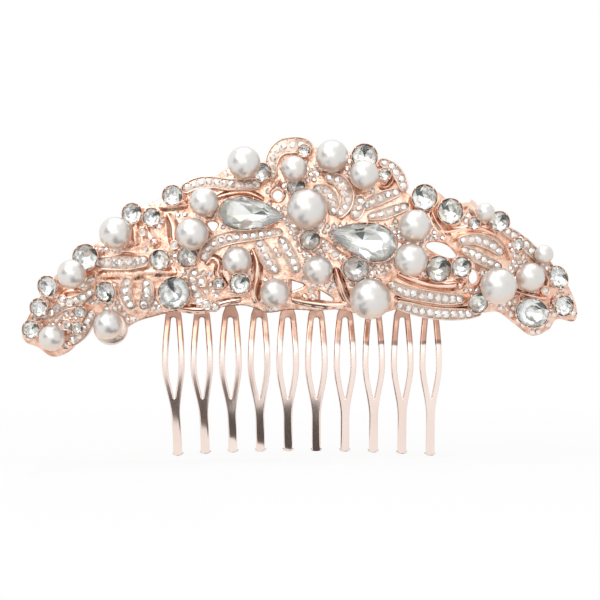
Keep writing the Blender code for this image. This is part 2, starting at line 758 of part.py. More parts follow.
def build_ornament(parts, guides, metal, pearl, crystal):
    """The cast frame with every pearl and stone, each set as low as its neighbours allow."""
    frame = build_plate(parts, metal)
    section = channel_profile(guides)
    placed = []
    for name, (share, points) in CHANNELS.items():
        build_channel(name + "_channel", share, points, section, guides)
        placed.append((channel_discs(share, points), 0))

    def set_piece(name, x, z, turn, setting, gem_mesh, metal_mesh, material):
        seat = seat_height(setting, placed)
        placed.append((setting, seat))
        foot = leaning(x, z, -seat - setting.middle, setting.tilt)
        place = dome_frame(*foot, seat, setting.tilt) @ Matrix.Rotation(math.radians(turn), 4, "Z")
        add_object(name, gem_mesh, parts, material).matrix_world = place
        holder = as_guide(add_object(name + "_holder", metal_mesh(seat), guides))
        holder.matrix_world = place

    for name, (outline, x, z, length, width, turn) in FANCY_STONES.items():
        x, z, length, width = (value * MM for value in (x, z, length, width))
        shape = pear_shape(length, width) if outline == "pear" else oval_shape(length, width)
        mesh = turned_mesh(name, stone_profile(width), FANCY_SIDES)
        bend(mesh, shape)
        discs = fancy_discs(outline, x, z, length, width, turn)

        def long_cup(seat, width=width, shape=shape, name=name):
            cup = turned_mesh(name + "_cup", cup_profile(width, seat), FANCY_SIDES)
            bend(cup, shape)
            return cup

        set_piece(name, x, z, turn, stone_setting(discs, width), mesh, long_cup, crystal)

    def set_stones(stones):
        for name, (size, x, z) in stones.items():
            width = STONE_SIZE[size]
            sides = STONE_SIDES[size]
            mesh = turned_mesh(name, stone_profile(width), sides)
            setting = stone_setting([(x * MM, z * MM, width / 2)], width)

            def cup(seat, width=width, sides=sides, name=name):
                return turned_mesh(name + "_cup", cup_profile(width, seat), sides)

            set_piece(name, x * MM, z * MM, 0, setting, mesh, cup, crystal)

    set_stones(ROUND_STONES)
    for name, (size, x, z) in PEARLS.items():
        diameter = PEARL_SIZE[size]
        mesh = turned_mesh(name, pearl_profile(diameter), PEARL_SIDES)
        mesh.shade_smooth()
        setting = pearl_setting(x * MM, z * MM, diameter)

        def post(seat, name=name):
            return turned_mesh(name + "_post", post_profile(seat), POST_SIDES)

        set_piece(name, x * MM, z * MM, 0, setting, mesh, post, pearl)
    set_stones(FRONT_STONES)
    bpy.data.objects.remove(section, do_unlink=True)
    join = frame.modifiers.new("Cast in one", "BOOLEAN")
    join.operation = "UNION"
    # The exact solver leaves open edges where so many forms meet
    join.solver = "MANIFOLD"
    join.operand_type = "COLLECTION"
    join.collection = guides
    return frame


def main():
    clear_scene()
    parts = new_collection("decorative_hair_comb")
    guides = new_collection("frame_forms")
    rose_gold = finish("rose_gold_cast", (0.83, 0.42, 0.3), 0.22, 1)
    comb_gold = finish("rose_gold_polished", (0.88, 0.6, 0.48), 0.18, 1)
    nacre = finish("ivory_nacre", (0.9, 0.87, 0.83), 0.2, 0)
    crystal = finish("clear_crystal", (0.86, 0.89, 0.88), 0.04, 0)
    build_comb(parts, comb_gold)
    build_ornament(parts, guides, rose_gold, nacre, crystal)


main()
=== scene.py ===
"""Looks of the decorative hair comb: its metal, stones and pearls, and the studio around it.

Laid out as an add-on and run as a script.  Lengths are metres in the frame's own axes: x across,
z up, and the front of the ornament faces -y.  The ornament is drawn flat, as x and z in
millimetres, and laid over the same shallow dome as the cast frame.
"""

import bisect
import math
import random

import bmesh
import bpy
from bpy.props import FloatProperty, FloatVectorProperty, IntProperty, PointerProperty
from bpy.types import Operator, Panel, PropertyGroup
from mathutils import Matrix, Vector, noise
from mathutils.geometry import delaunay_2d_cdt
from mathutils.kdtree import KDTree


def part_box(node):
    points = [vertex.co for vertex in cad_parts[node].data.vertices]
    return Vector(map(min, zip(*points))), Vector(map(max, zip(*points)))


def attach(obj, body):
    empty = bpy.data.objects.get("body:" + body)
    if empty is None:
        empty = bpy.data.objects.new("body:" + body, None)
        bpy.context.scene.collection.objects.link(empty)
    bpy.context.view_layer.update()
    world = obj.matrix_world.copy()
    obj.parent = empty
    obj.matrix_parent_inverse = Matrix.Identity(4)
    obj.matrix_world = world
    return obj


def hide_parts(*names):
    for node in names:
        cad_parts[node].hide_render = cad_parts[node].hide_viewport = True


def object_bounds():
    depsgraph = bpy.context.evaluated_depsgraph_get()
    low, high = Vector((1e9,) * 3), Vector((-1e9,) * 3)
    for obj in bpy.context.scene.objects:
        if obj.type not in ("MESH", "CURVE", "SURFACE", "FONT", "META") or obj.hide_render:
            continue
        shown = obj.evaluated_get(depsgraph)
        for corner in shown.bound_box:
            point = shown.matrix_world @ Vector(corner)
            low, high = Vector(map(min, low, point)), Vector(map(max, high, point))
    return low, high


bl_info = {
    "name": "Decorative hair comb looks",
    "version": (1, 0, 0),
    "blender": (4, 5, 0),
    "location": "3D View > Sidebar > Hair Comb",
    "description": "Builds the finish of a decorative hair comb around its packed frame",
    "category": "Object",
}

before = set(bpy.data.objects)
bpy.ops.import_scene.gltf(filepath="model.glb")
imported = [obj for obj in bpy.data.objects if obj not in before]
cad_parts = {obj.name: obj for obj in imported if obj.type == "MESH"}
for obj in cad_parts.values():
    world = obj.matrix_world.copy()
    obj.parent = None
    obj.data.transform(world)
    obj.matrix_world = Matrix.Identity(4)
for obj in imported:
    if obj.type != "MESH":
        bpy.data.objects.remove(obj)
CAD_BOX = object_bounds()
MM = 0.001
FRONT = Vector((0, -1, 0))

# A cut stone's parts as shares of its width, and how sharply a pear comes to its point
CROWN_SHARE = 0.2
PAVILION_SHARE = 0.34
TABLE_SHARE = 0.58
EDGE_SHARE = 0.012
PEAR_POINT = 0.9
# How deep the foiled backs look from the front, as shares of a stone's width
BACK_SHARE = 0.26
LONG_BACK_SHARE = 0.24
CUP_FLOOR = 0.7 * MM
# The cone that metal leaves free under a stone: where it starts and ends, as shares of half its width
CONE_START = 0.25
CONE_END = 1.15

# The least height of a band or scroll, and the share of its height that it keeps where it is narrow
LEAST_RISE = 0.1 * MM
NARROW_RISE = 0.72
# Distance between the sections along a band or scroll
SECTION_STEP = 0.45 * MM
# A pearl's attribute that is 0 where it faces up and forward and 1 on the opposite side, where a reflection
# of the rose gold is painted
PEARL_DEPTH = "depth"
# How far a stem or post goes down into the plate, as a share of the plate's thickness
ROOT_SHARE = 0.65

# Outline of the plate, in millimetres, clockwise from the left tip
PLATE_OUTLINE = [
    (-56.4, -4.0), (-52.8, 2.6), (-47.0, 9.6), (-39.4, 14.6), (-34.4, 19.6), (-27.0, 22.8),
    (-19.0, 25.6), (-12.0, 30.2), (-6.4, 29.6), (-4.2, 32.6), (0.0, 33.8), (5.0, 32.4),
    (13.0, 31.6), (18.4, 28.6), (21.6, 23.6), (27.2, 24.0), (30.6, 21.8), (37.0, 20.8), (41.0, 17.0),
    (47.6, 11.4), (52.8, 7.2), (55.2, 3.4), (56.4, -0.6), (55.4, -2.4), (52.2, -1.9), (50.4, -4.1),
    (47.0, -5.3), (43.6, -3.0), (40.2, -0.5), (37.0, -0.6), (31.0, -1.2), (21.0, 0.2), (17.0, -0.6),
    (12.6, -1.0), (8.0, 0.0), (3.0, -0.2), (-2.0, 0.0), (-6.6, -0.6), (-11.0, 0.8), (-16.0, 0.5),
    (-25.0, -0.4), (-29.4, -1.4), (-33.2, -2.6), (-38.0, -5.4), (-42.6, -3.6), (-46.4, -8.2),
    (-50.2, -9.6), (-53.4, -7.6), (-55.8, -6.6),
]

# Openings through the plate, in millimetres: points round each
OPENINGS = {
    "eyelet": [
        (-3.5, 23.1), (-3.8, 23.8), (-4.5, 24.1), (-5.2, 23.8), (-5.5, 23.1), (-5.2, 22.4), (-4.5, 22.1),
        (-3.8, 22.4)],
    "left": [(-18.7, 17.5), (-17.6, 17.8), (-16.7, 17.5), (-16.6, 16.8), (-17.4, 15.8), (-18.2, 16.5)],
    "triangle": [(-2.1, 6.0), (-1.4, 5.8), (0.9, 4.9), (-1.4, 3.8), (-2.1, 3.4), (-2.2, 4.7)],
    "lower": [(3.9, 3.9), (5.2, 3.2), (6.4, 2.4), (6.7, 1.9), (5.4, 1.6), (4.1, 1.6), (3.8, 2.8)],
    "right": [
        (25.3, 12.9), (26.8, 13.7), (29.4, 13.2), (31.0, 11.8), (31.5, 10.7), (29.8, 10.5), (27.0, 11.6)],
    "pearl_gap": [(19.4, 13.6), (20.0, 13.5), (20.6, 13.2), (20.0, 12.6), (19.7, 12.2), (19.5, 12.9)],
    "right_slot": [
        (34.2, 8.0), (35.0, 8.1), (35.7, 7.4), (35.8, 6.0), (34.9, 5.2), (34.2, 5.9), (34.1, 7.0)],
}

# Bands set with a row of tiny stones, in millimetres: rise, then x, z and width
BANDS = {
    "arch": (1.6, [
        (-5.4, 26.0, 2.4), (-5.8, 28.4, 2.6), (-5.2, 30.8, 2.8), (-3.6, 32.4, 3.2),
        (-1.4, 32.8, 3.4), (0.8, 32.6, 3.2), (2.2, 31.2, 2.6)]),
    "upper_left": (1.5, [
        (-23.6, 23.8, 2.2), (-20.6, 25.2, 2.4), (-17.6, 25.4, 2.5), (-14.4, 25.0, 2.4),
        (-11.0, 25.0, 2.4), (-7.6, 25.2, 2.2)]),
    "under_left_pear": (1.5, [
        (-19.6, 9.8, 2.4), (-18.2, 12.4, 2.8), (-16.0, 13.8, 2.8), (-12.8, 14.5, 2.6),
        (-9.6, 14.9, 2.4), (-6.4, 15.3, 2.0), (-3.4, 15.6, 1.6)]),
    "split_leaf_near": (1.7, [
        (-8.4, 14.0, 2.2), (-7.0, 11.4, 3.2), (-5.7, 9.0, 2.9), (-4.4, 7.4, 2.0)]),
    "split_leaf_far": (1.7, [
        (-4.0, 14.6, 1.8), (-2.6, 12.2, 2.6), (-1.4, 9.8, 2.6), (-0.5, 7.4, 2.0)]),
    "petal_inner": (1.4, [
        (2.6, 24.4, 1.8), (5.2, 23.6, 2.6), (6.6, 21.4, 2.7), (6.6, 18.8, 2.0)]),
    "petal_outer": (1.8, [
        (4.8, 26.6, 1.9), (7.8, 25.6, 2.8), (9.3, 23.2, 3.0), (9.0, 20.6, 2.6), (7.4, 18.4, 1.6)]),
    "petal_fold": (1.3, [(12.2, 22.8, 2.0), (11.7, 20.4, 2.8), (10.6, 18.0, 2.2)]),
    "outer_right": (1.5, [
        (15.8, 29.8, 1.8), (18.4, 28.4, 2.2), (20.0, 26.4, 2.3), (21.0, 23.6, 1.9)]),
    "fork_upper": (1.6, [
        (12.4, 20.2, 1.6), (14.6, 21.6, 2.5), (17.2, 22.7, 2.5), (20.0, 23.7, 1.8)]),
    "fork_lower": (1.6, [
        (13.4, 18.5, 1.6), (16.4, 19.1, 2.4), (19.2, 20.0, 2.4), (21.8, 21.0, 1.8)]),
    "right_leaf_upper": (1.6, [
        (31.4, 13.8, 1.6), (34.8, 14.2, 2.5), (37.8, 13.4, 2.7), (40.8, 11.2, 1.8)]),
    "right_leaf_lower": (1.6, [
        (32.2, 12.4, 1.6), (35.0, 11.0, 2.4), (37.6, 9.6, 2.5), (40.4, 8.4, 1.6)]),
    "lower_right_upper": (1.6, [
        (17.6, 5.6, 1.8), (20.4, 3.9, 2.5), (23.4, 3.2, 2.6), (26.4, 2.7, 2.6),
        (29.4, 2.3, 2.5), (33.0, 2.3, 1.8)]),
    "lower_right_lower": (1.4, [
        (19.0, 1.3, 1.8), (22.0, 0.5, 2.3), (25.2, -0.3, 2.5), (29.0, -0.7, 2.5),
        (32.8, -0.7, 2.3), (36.4, -0.3, 1.6)]),
    "left_band": (1.6, [
        (-41.0, 9.4, 2.4), (-37.6, 9.5, 2.9), (-34.0, 9.5, 2.9), (-30.2, 10.0, 2.4)]),
    "left_fork_near": (1.5, [(-34.4, 6.4, 2.4), (-34.9, 3.4, 2.9), (-33.6, 0.2, 2.0)]),
    "left_fork_far": (1.5, [(-30.8, 6.4, 2.2), (-30.4, 3.4, 2.8), (-31.6, 0.2, 2.0)]),
    "left_leaf": (1.5, [
        (-47.8, -7.4, 1.8), (-44.8, -5.4, 2.4), (-42.9, -3.0, 2.4), (-41.6, 0.2, 1.8)]),
    "left_end": (1.4, [
        (-54.0, -1.8, 1.8), (-50.4, -0.6, 2.2), (-47.6, 1.2, 2.6), (-44.6, 2.0, 2.4),
        (-41.2, 4.2, 1.6)]),
    "lower_scroll": (1.4, [
        (-20.8, 8.4, 1.8), (-21.5, 6.0, 2.2), (-20.8, 3.4, 2.4), (-18.8, 1.4, 2.4),
        (-16.0, 0.4, 1.8)]),
    "under_right_pear": (1.4, [
        (3.8, 14.4, 1.5), (6.4, 12.0, 1.8), (8.8, 10.2, 1.8), (10.6, 9.2, 1.4)]),
    "right_rim": (1.4, [
        (40.6, 16.4, 1.8), (44.0, 14.2, 2.3), (47.0, 11.5, 2.3), (49.8, 8.6, 2.3), (51.6, 4.6, 1.8)]),
}

# Plain scrolls, in millimetres: drawn rise, then x, z and width.  They are built at a share of that rise,
# and the low ones keep the finish of the casting.
SCROLL_RISE = 0.6
POLISHED_RISE = 1.0
SCROLLS = {
    "pear_hood": (0.95, [
        (-17.0, 22.4, 1.0), (-14.0, 23.4, 1.4), (-11.0, 23.6, 1.4), (-9.0, 23.0, 1.3), (-7.2, 22.0, 1.0)]),
    "petal_rim": (2.1, [
        (8.0, 27.2, 0.6), (10.2, 25.6, 0.8), (10.8, 23.0, 0.9), (10.2, 20.6, 0.9), (8.0, 18.0, 0.7)]),
    "volute": (1.7, [
        (15.2, 28.9, 0.8), (17.0, 28.6, 1.0), (18.3, 27.5, 1.1), (18.5, 25.9, 1.1),
        (17.4, 24.7, 1.0), (15.8, 24.6, 0.8)]),
    "leaf_rim": (1.9, [
        (30.6, 13.8, 0.7), (34.0, 15.2, 0.9), (37.6, 15.2, 0.9), (40.6, 13.2, 0.9), (42.2, 10.0, 0.7)]),
    "band_rim": (1.8, [(-37.8, 11.0, 0.6), (-35.0, 11.2, 0.8), (-32.4, 11.0, 0.6)]),
    "lower_right_rim": (1.5, [
        (18.8, 2.6, 0.7), (22.4, 1.9, 0.9), (26.0, 1.1, 0.9), (30.0, 0.8, 0.9), (34.0, 1.0, 0.7)]),
    "right_middle": (1.4, [
        (19.4, 7.4, 1.4), (23.0, 6.0, 1.9), (27.0, 5.0, 2.0), (31.0, 5.0, 1.9), (33.6, 6.2, 1.3)]),
    "right_crest": (1.5, [
        (30.4, 18.6, 1.4), (31.8, 20.8, 1.9), (33.8, 21.3, 2.0), (35.2, 20.0, 1.8), (35.8, 18.2, 1.3)]),
    "crest_stem": (1.2, [(26.4, 19.8, 0.9), (27.4, 17.8, 1.3), (28.6, 16.2, 1.1)]),
    "crest_base": (1.2, [(29.0, 15.6, 1.2), (32.6, 16.2, 1.8), (36.4, 16.4, 1.8), (39.6, 15.0, 1.2)]),
    "centre_scroll": (1.4, [
        (-9.6, 12.4, 1.0), (-8.6, 9.4, 1.9), (-8.8, 6.2, 2.1), (-9.2, 3.4, 1.9), (-8.4, 1.4, 1.4)]),
    "left_lobe": (1.6, [
        (-19.0, 9.0, 1.1), (-17.6, 10.4, 1.5), (-16.2, 9.4, 1.6), (-16.4, 7.2, 1.5), (-14.6, 4.6, 1.1)]),
    "lower_middle": (1.5, [
        (7.0, 8.6, 1.2), (8.0, 5.6, 1.8), (9.0, 2.8, 1.7), (10.6, 0.6, 1.2)]),
    "left_stem_rim": (0.9, [(-33.0, 18.0, 1.4), (-33.6, 15.6, 2.2), (-33.0, 12.8, 1.6)]),
    "left_stem": (1.0, [(-30.9, 17.0, 1.6), (-30.2, 14.6, 2.4), (-28.2, 12.6, 1.8)]),
    "inner_left": (1.0, [(-26.6, 19.4, 1.4), (-25.6, 17.0, 2.2), (-25.2, 13.6, 2.0), (-24.0, 11.6, 1.2)]),
    "left_crest_rim": (0.8, [(-28.4, 20.6, 1.4), (-25.4, 21.0, 2.0), (-22.4, 21.2, 1.4)]),
    "left_under": (0.5, [
        (-41.0, 6.8, 1.4), (-37.4, 7.3, 2.0), (-33.6, 7.2, 2.1), (-29.4, 7.7, 1.9), (-24.6, 7.6, 1.4)]),
    "right_end_stem": (1.4, [(49.4, 9.8, 1.0), (50.2, 6.6, 1.5), (49.6, 3.2, 1.1)]),
    "right_end_vein": (1.2, [(43.0, 4.0, 0.9), (46.4, 2.8, 1.3), (50.0, 2.4, 1.0)]),
    "left_vein_upper": (1.6, [(-43.8, 2.2, 0.5), (-42.2, 3.0, 0.8), (-41.0, 3.9, 0.5)]),
    "left_marquise": (1.3, [(-48.4, 3.2, 0.7), (-46.0, 4.0, 1.0), (-43.6, 3.4, 0.8)]),
    "lower_left_edge": (1.2, [
        (-27.6, 1.0, 1.0), (-23.6, 0.4, 1.6), (-19.4, 0.2, 1.6), (-15.0, 1.6, 1.2), (-11.6, 2.2, 0.9)]),
    "lower_edge": (1.1, [(-1.8, 2.2, 1.0), (1.2, 1.6, 1.4), (6.0, 1.0, 1.4), (9.6, 1.2, 1.0)]),
}

# Long stones, in millimetres: outline, length, width, turn of the pointed end in degrees
LONG_STONES = {
    "pear_stone_left": ("pear", 13.4, 6.8, -5),
    "pear_stone_right": ("pear", 14.0, 7.6, 166),
    "drop_stone_left": ("oval", 6.8, 6.2, 225),
    "oval_stone_right": ("oval", 7.0, 5.8, -20),
    "oval_stone_rim": ("oval", 4.8, 3.6, -55),
}

# Tiny single stones in their own collets, in millimetres: x, z, diameter
ACCENTS = [
    (-47.6, 2.2, 1.6), (-46.0, 1.8, 1.5), (-46.8, -2.8, 1.9), (-19.6, 5.8, 1.9), (-20.2, 2.0, 1.5),
    (-18.6, 1.2, 1.8), (5.4, 12.4, 1.6), (6.8, 11.0, 1.6), (9.0, 9.8, 1.7), (49.2, 4.0, 1.5),
    (-25.0, 13.0, 1.5), (-31.4, 15.6, 1.4), (15.4, 5.6, 1.5), (43.2, 2.0, 1.4),
]

# A round boss behind a pearl and a ring round an opening, in millimetres: x, z, outer radius
BOSS = (-37.8, -3.4, 3.5)
EYELET = (-4.5, 23.1, 1.7)

# Small metal balls, in millimetres: x, z, diameter
KNOTS = [(-29.0, 13.6, 2.0), (32.0, 5.0, 1.7), (-46.4, -6.8, 1.5), (-6.2, 1.6, 1.6), (1.0, 2.8, 1.5)]


def millimetres(name, description, default):
    """A size property in metres, given in millimetres."""
    return FloatProperty(
        name=name, description=description, default=default * MM, unit="LENGTH", precision=5
    )


def fraction(name, description, default):
    """A number property from 0 to 1."""
    return FloatProperty(name=name, description=description, default=default, min=0, max=1)


def watts(name, description, default):
    """The power of a lamp."""
    return FloatProperty(name=name, description=description, default=default, unit="POWER")


def colour(name, description, default):
    """A colour property, as linear light."""
    return FloatVectorProperty(
        name=name, description=description, default=default, size=3, min=0, max=1, subtype="COLOR"
    )


class ShapeSettings(PropertyGroup):
    """Sizes of the metalwork"""

    bow_radius: millimetres("Bow radius", "Radius of the ornament's bow from side to side", 180)
    dome_radius: millimetres("Dome radius", "Radius of the ornament's dome from top to bottom", 90)
    dome_level: millimetres("Dome level", "Height at which the dome is foremost", 10)
    plate_thickness: millimetres("Plate thickness", "Thickness of the cast plate", 1.4)
    plate_edge: millimetres("Plate edge", "Rounding of the plate's edges", 0.35)
    rim_width: millimetres("Rim width", "Width of the rims along a band", 0.3)
    floor_depth: millimetres("Floor depth", "Depth of a band's floor under its rims", 0.32)
    stone_pitch: millimetres("Stone pitch", "Distance between the tiny stones along a band", 1.55)
    ground_pitch: millimetres("Ground pitch", "Distance between the tiny stones between the bands", 1.3)
    bead_size: millimetres("Bead size", "Diameter of the grains that hold the tiny stones", 0.42)
    collet_wall: millimetres("Collet wall", "Width of the rim round a stone", 0.17)
    claw_size: millimetres("Claw size", "Diameter of the claw tips on a stone", 0.5)
    post_radius: millimetres("Post radius", "Radius of the post under a pearl", 0.8)


class CombSettings(PropertyGroup):
    """Sizes of the stamped comb"""

    tooth_count: IntProperty(name="Teeth", description="Number of teeth", default=10, min=2)
    tooth_pitch: millimetres("Tooth pitch", "Distance from tooth to tooth", 5.76)
    tooth_tip: millimetres("Tooth tip", "Height of the middle teeth's tips", -28.4)
    tip_sweep: millimetres("Tip sweep", "How much lower the outer tips are", 1.0)
    offset: millimetres("Offset", "How far the comb's middle is to the right", 0.4)
    thickness: millimetres("Thickness", "Thickness of the sheet", 0.9)
    solder_gap: millimetres("Solder gap", "Gap between the plate and the comb's bar", 0.3)
    bar_bottom: millimetres("Bar bottom", "Height of the lower edge of the bar", 6.2)
    bar_height: millimetres("Bar height", "Height of the bar", 3.8)
    neck_width: millimetres("Neck width", "Width of a tooth at the bar", 1.7)
    neck_level: millimetres("Neck level", "Height down to which the neck is straight", 1.6)
    root_width: millimetres("Root width", "Width of a tooth at the top of its eye", 3.4)
    eye_width: millimetres("Eye width", "Width over the legs at the widest place", 4.6)
    stem_width: millimetres("Stem width", "Width of a tooth below its eye", 1.8)
    leg_width: millimetres("Leg width", "Width of each leg beside the eye", 1.25)
    eye_top: millimetres("Eye top", "Height of the top of the eye", -1.5)
    eye_level: millimetres("Eye level", "Height at which the eye is widest", -11)
    eye_bottom: millimetres("Eye bottom", "Height of the bottom of the eye", -17.6)
    eye_round: millimetres("Eye round", "Height of the eye's round ends", 0.45)
    eye_margin: millimetres("Eye margin", "Height of the sheet from an eye's end to the first whole row", 0.6)
    stem_top: millimetres("Stem top", "Height at which the stem starts", -21.6)
    stem_lean: millimetres("Stem lean", "How far the leftmost tip leans to the right", 0.9)
    tip_round: millimetres("Tip round", "Radius of the corners of a tip", 0.55)
    shoulder: millimetres("Shoulder", "Height at which the teeth leave the dome", -2)
    knee_drop: millimetres("Knee drop", "Height of the forward step in the teeth", 6.5)
    knee_throw: millimetres("Knee throw", "Depth of the forward step in the teeth", 1.2)
    tooth_radius: millimetres("Tooth radius", "Radius of the sweep back to the tips", 60)
    edge: millimetres("Edge", "Rounding of the sheet's edges", 0.36)


class FinishSettings(PropertyGroup):
    """Colours and polish"""

    cast_colour: colour("Cast metal", "Rose gold of the casting", (0.94, 0.67, 0.54))
    # Darker tone in the casting's hollows: partly the metal's own tone, partly painted shade
    cast_deep: colour("Cast recess", "Rose gold where the plating is heavier", (0.64, 0.36, 0.25))
    back_colour: colour("Back", "Rose gold of the plain back", (0.91, 0.68, 0.58))
    back_deep: colour("Back shade", "Rose gold of the plain back in its duller patches", (0.85, 0.59, 0.48))
    scroll_colour: colour("Scroll metal", "Rose gold of the polished scrolls", (0.97, 0.75, 0.64))
    scroll_deep: colour("Scroll shade", "Rose gold of the scrolls in redder patches", (0.88, 0.6, 0.48))
    band_colour: colour("Band metal", "Pale plating on the bands", (0.88, 0.765, 0.69))
    band_deep: colour("Band shade", "Pale plating where it is thin", (0.74, 0.565, 0.475))
    # Painted shade on the floors of the bands, between the tiny stones
    floor_deep: colour("Band floor", "Dull plating between the tiny stones", (0.47, 0.35, 0.28))
    comb_colour: colour("Comb metal", "Rose gold of the comb", (0.95, 0.82, 0.76))
    comb_deep: colour("Comb shade", "Rose gold of the comb in its duller patches", (0.91, 0.75, 0.68))
    # Painted light: the next three colours paint the ornament's reflection and shade on the teeth near the
    # bar, and dark reflected spots where that ends
    comb_dark: colour("Comb dark", "Tarnish where the redder metal ends", (0.16, 0.1, 0.08))
    comb_root: colour("Comb root", "Rose gold of the teeth near the bar", (0.76, 0.5, 0.39))
    comb_root_deep: colour("Comb root shade", "The same on the teeth at the right", (0.56, 0.33, 0.25))
    comb_back: colour("Comb back", "Rose gold of the comb's back", (0.93, 0.74, 0.66))
    comb_back_deep: colour("Comb back shade", "The same in its duller patches", (0.86, 0.64, 0.54))
    pearl_colour: colour("Pearl", "Body colour of the pearls", (0.76, 0.745, 0.725))
    pearl_blush: colour("Pearl blush", "Warm patches on the pearls", (0.76, 0.715, 0.675))
    # Painted reflection of the rose gold where the pearls turn down and to the back
    pearl_waist: colour("Pearl waist", "Pearls where they turn down and to the back", (0.83, 0.66, 0.55))
    crystal_colour: colour("Crystal", "Clear crystal", (0.985, 0.995, 0.995))
    foil_colour: colour("Foil", "Silver foil behind the crystals", (0.96, 0.97, 0.97))
    # Painted dark reflection on the foil behind a few facets
    foil_dark: colour("Worn foil", "Foil behind the facets that look dark", (0.1, 0.115, 0.11))
    foil_tint: colour("Foil tint", "Yellow tint in parts of the foil", (0.93, 0.92, 0.84))
    pave_colour: colour("Tiny stones", "Tiny crystals with their foil", (0.9, 0.895, 0.88))
    # Painted warm reflection of the metal in some of the tiny crystals
    pave_tint: colour("Tiny stones tint", "Warm tint in some of the tiny crystals", (0.88, 0.8, 0.74))
    cast_roughness: fraction("Cast roughness", "Roughness of the casting", 0.2)
    comb_roughness: fraction("Comb roughness", "Roughness of the comb", 0.16)
    pearl_roughness: fraction("Pearl roughness", "Roughness of the pearls", 0.28)
    crystal_index: FloatProperty(
        name="Crystal index", description="Refractive index of the crystals", default=1.55, min=1, max=3
    )


class StageSettings(PropertyGroup):
    """The studio"""

    floor_colour: colour("Floor", "Colour of the floor", (0.93, 0.93, 0.93))
    floor_size: FloatProperty(name="Floor size", description="Side of the floor", default=6, unit="LENGTH")
    view_width: millimetres("View width", "Width that the camera sees at the ornament", 120)
    view_centre: FloatVectorProperty(
        name="View centre", description="Point in the middle of the picture", default=(0, -0.005, 0.002),
        size=3, subtype="TRANSLATION", precision=4,
    )
    camera_distance: millimetres("Camera distance", "Distance from the camera to the ornament", 800)
    sky_strength: fraction("Sky strength", "Strength of the surrounding light on dull surfaces", 0.52)
    key_power: watts("Key power", "Power of the key light", 3.8)
    top_power: watts("Top power", "Power of the top light", 4)
    front_power: watts("Front power", "Power of the light behind the camera", 2)
    floor_glow: fraction("Floor glow", "How white the floor stays for the camera and reflections", 0.86)
    card_cloth: colour("Card cloth", "Cloth of the card at the left", (0.13, 0.124, 0.118))
    # Painted light: the card's paper glows as if lit
    card_paper: colour("Card paper", "Lit paper of the card at the right", (0.5, 0.49, 0.48))
    mat_cloth: colour("Mat cloth", "Cloth of the mats before the ornament", (0.075, 0.068, 0.064))
    # Painted light: the far mat's paper and its stand glow as if lit
    mat_paper: colour("Mat paper", "Lit paper of the far mat and its stand", (0.36, 0.335, 0.325))


class Reading:
    """The value of a node's output.  Arithmetic on it adds Math nodes to the same tree."""

    def __init__(self, nodes, socket):
        self.nodes = nodes
        self.socket = socket

    def compute(self, operation, first, second):
        return self.nodes.add("ShaderNodeMath", {"operation": operation}, {0: first, 1: second})

    def __add__(self, other):
        return self.compute("ADD", self, other)

    def __radd__(self, other):
        return self.compute("ADD", other, self)

    def __sub__(self, other):
        return self.compute("SUBTRACT", self, other)

    def __rsub__(self, other):
        return self.compute("SUBTRACT", other, self)

    def __mul__(self, other):
        return self.compute("MULTIPLY", self, other)

    def __rmul__(self, other):
        return self.compute("MULTIPLY", other, self)


class Nodes:
    """Writes nodes into one tree."""

    def __init__(self, tree):
        self.tree = tree

    def add(self, kind, settings=None, sockets=None, output=0):
        """Adds a node of a type: its settings first, then the values or links of its sockets."""
        node = self.tree.nodes.new(kind)
        for name, value in (settings or {}).items():
            if name == "stops":
                self.set_stops(node.color_ramp, value)
            else:
                setattr(node, name, value)
        for name, value in (sockets or {}).items():
            self.join(node.inputs[name], value)
        if not node.outputs:
            return None
        return Reading(self, node.outputs[output])

    def join(self, socket, value):
        if isinstance(value, Reading):
            self.tree.links.new(value.socket, socket)
        else:
            socket.default_value = value

    @staticmethod
    def set_stops(ramp, stops):
        while len(ramp.elements) < len(stops):
            ramp.elements.new(1)
        for element, (place, value) in zip(ramp.elements, stops):
            element.position = place
            element.color = (value, value, value, 1)


class Finish(Nodes):
    """A material with one Principled shader."""

    def __init__(self, name):
        self.material = bpy.data.materials.new(name)
        self.material.use_nodes = True
        super().__init__(self.material.node_tree)
        self.shader = self.tree.nodes["Principled BSDF"]

    def surface(self, **sockets):
        for name, value in sockets.items():
            label = "IOR" if name == "ior" else name.replace("_", " ").title()
            self.join(self.shader.inputs[label], value)
        return self.material

    def places(self):
        return self.add("ShaderNodeTexCoord", output="Object")

    def noise(self, scale, detail=2, places=None):
        sockets = {"Vector": places or self.places(), "Scale": scale, "Detail": detail}
        return self.add("ShaderNodeTexNoise", sockets=sockets, output="Fac")

    def ramp(self, value, stops):
        return self.add("ShaderNodeValToRGB", {"stops": stops}, {"Fac": value})

    def patches(self, scale, detail, low, high):
        """Soft-edged patches: 0 where a noise is under the low value, 1 where it is over the high one."""
        return self.ramp(self.noise(scale, detail), [(low, 0), (high, 1)])

    def blend(self, factor, first, second):
        """A colour between two colours."""
        first, second = [each if isinstance(each, Reading) else (*each, 1) for each in (first, second)]
        return self.add("ShaderNodeMix", {"data_type": "RGBA"}, {0: factor, 6: first, 7: second}, output=2)

    def bump(self, height, distance, strength=1.0):
        sockets = {"Height": height, "Distance": distance, "Strength": strength}
        return self.add("ShaderNodeBump", sockets=sockets, output="Normal")


def settings(group):
    return getattr(bpy.context.scene, "hair_comb_" + group)


def lighter(tone, times):
    """A colour with every part multiplied."""
    return [times * part for part in tone]


def kept(make):
    """The material of a function below, named for it and made the first time that it is asked for."""
    name = make.__name__
    return bpy.data.materials.get(name) or make(Finish(name), settings("finish"))


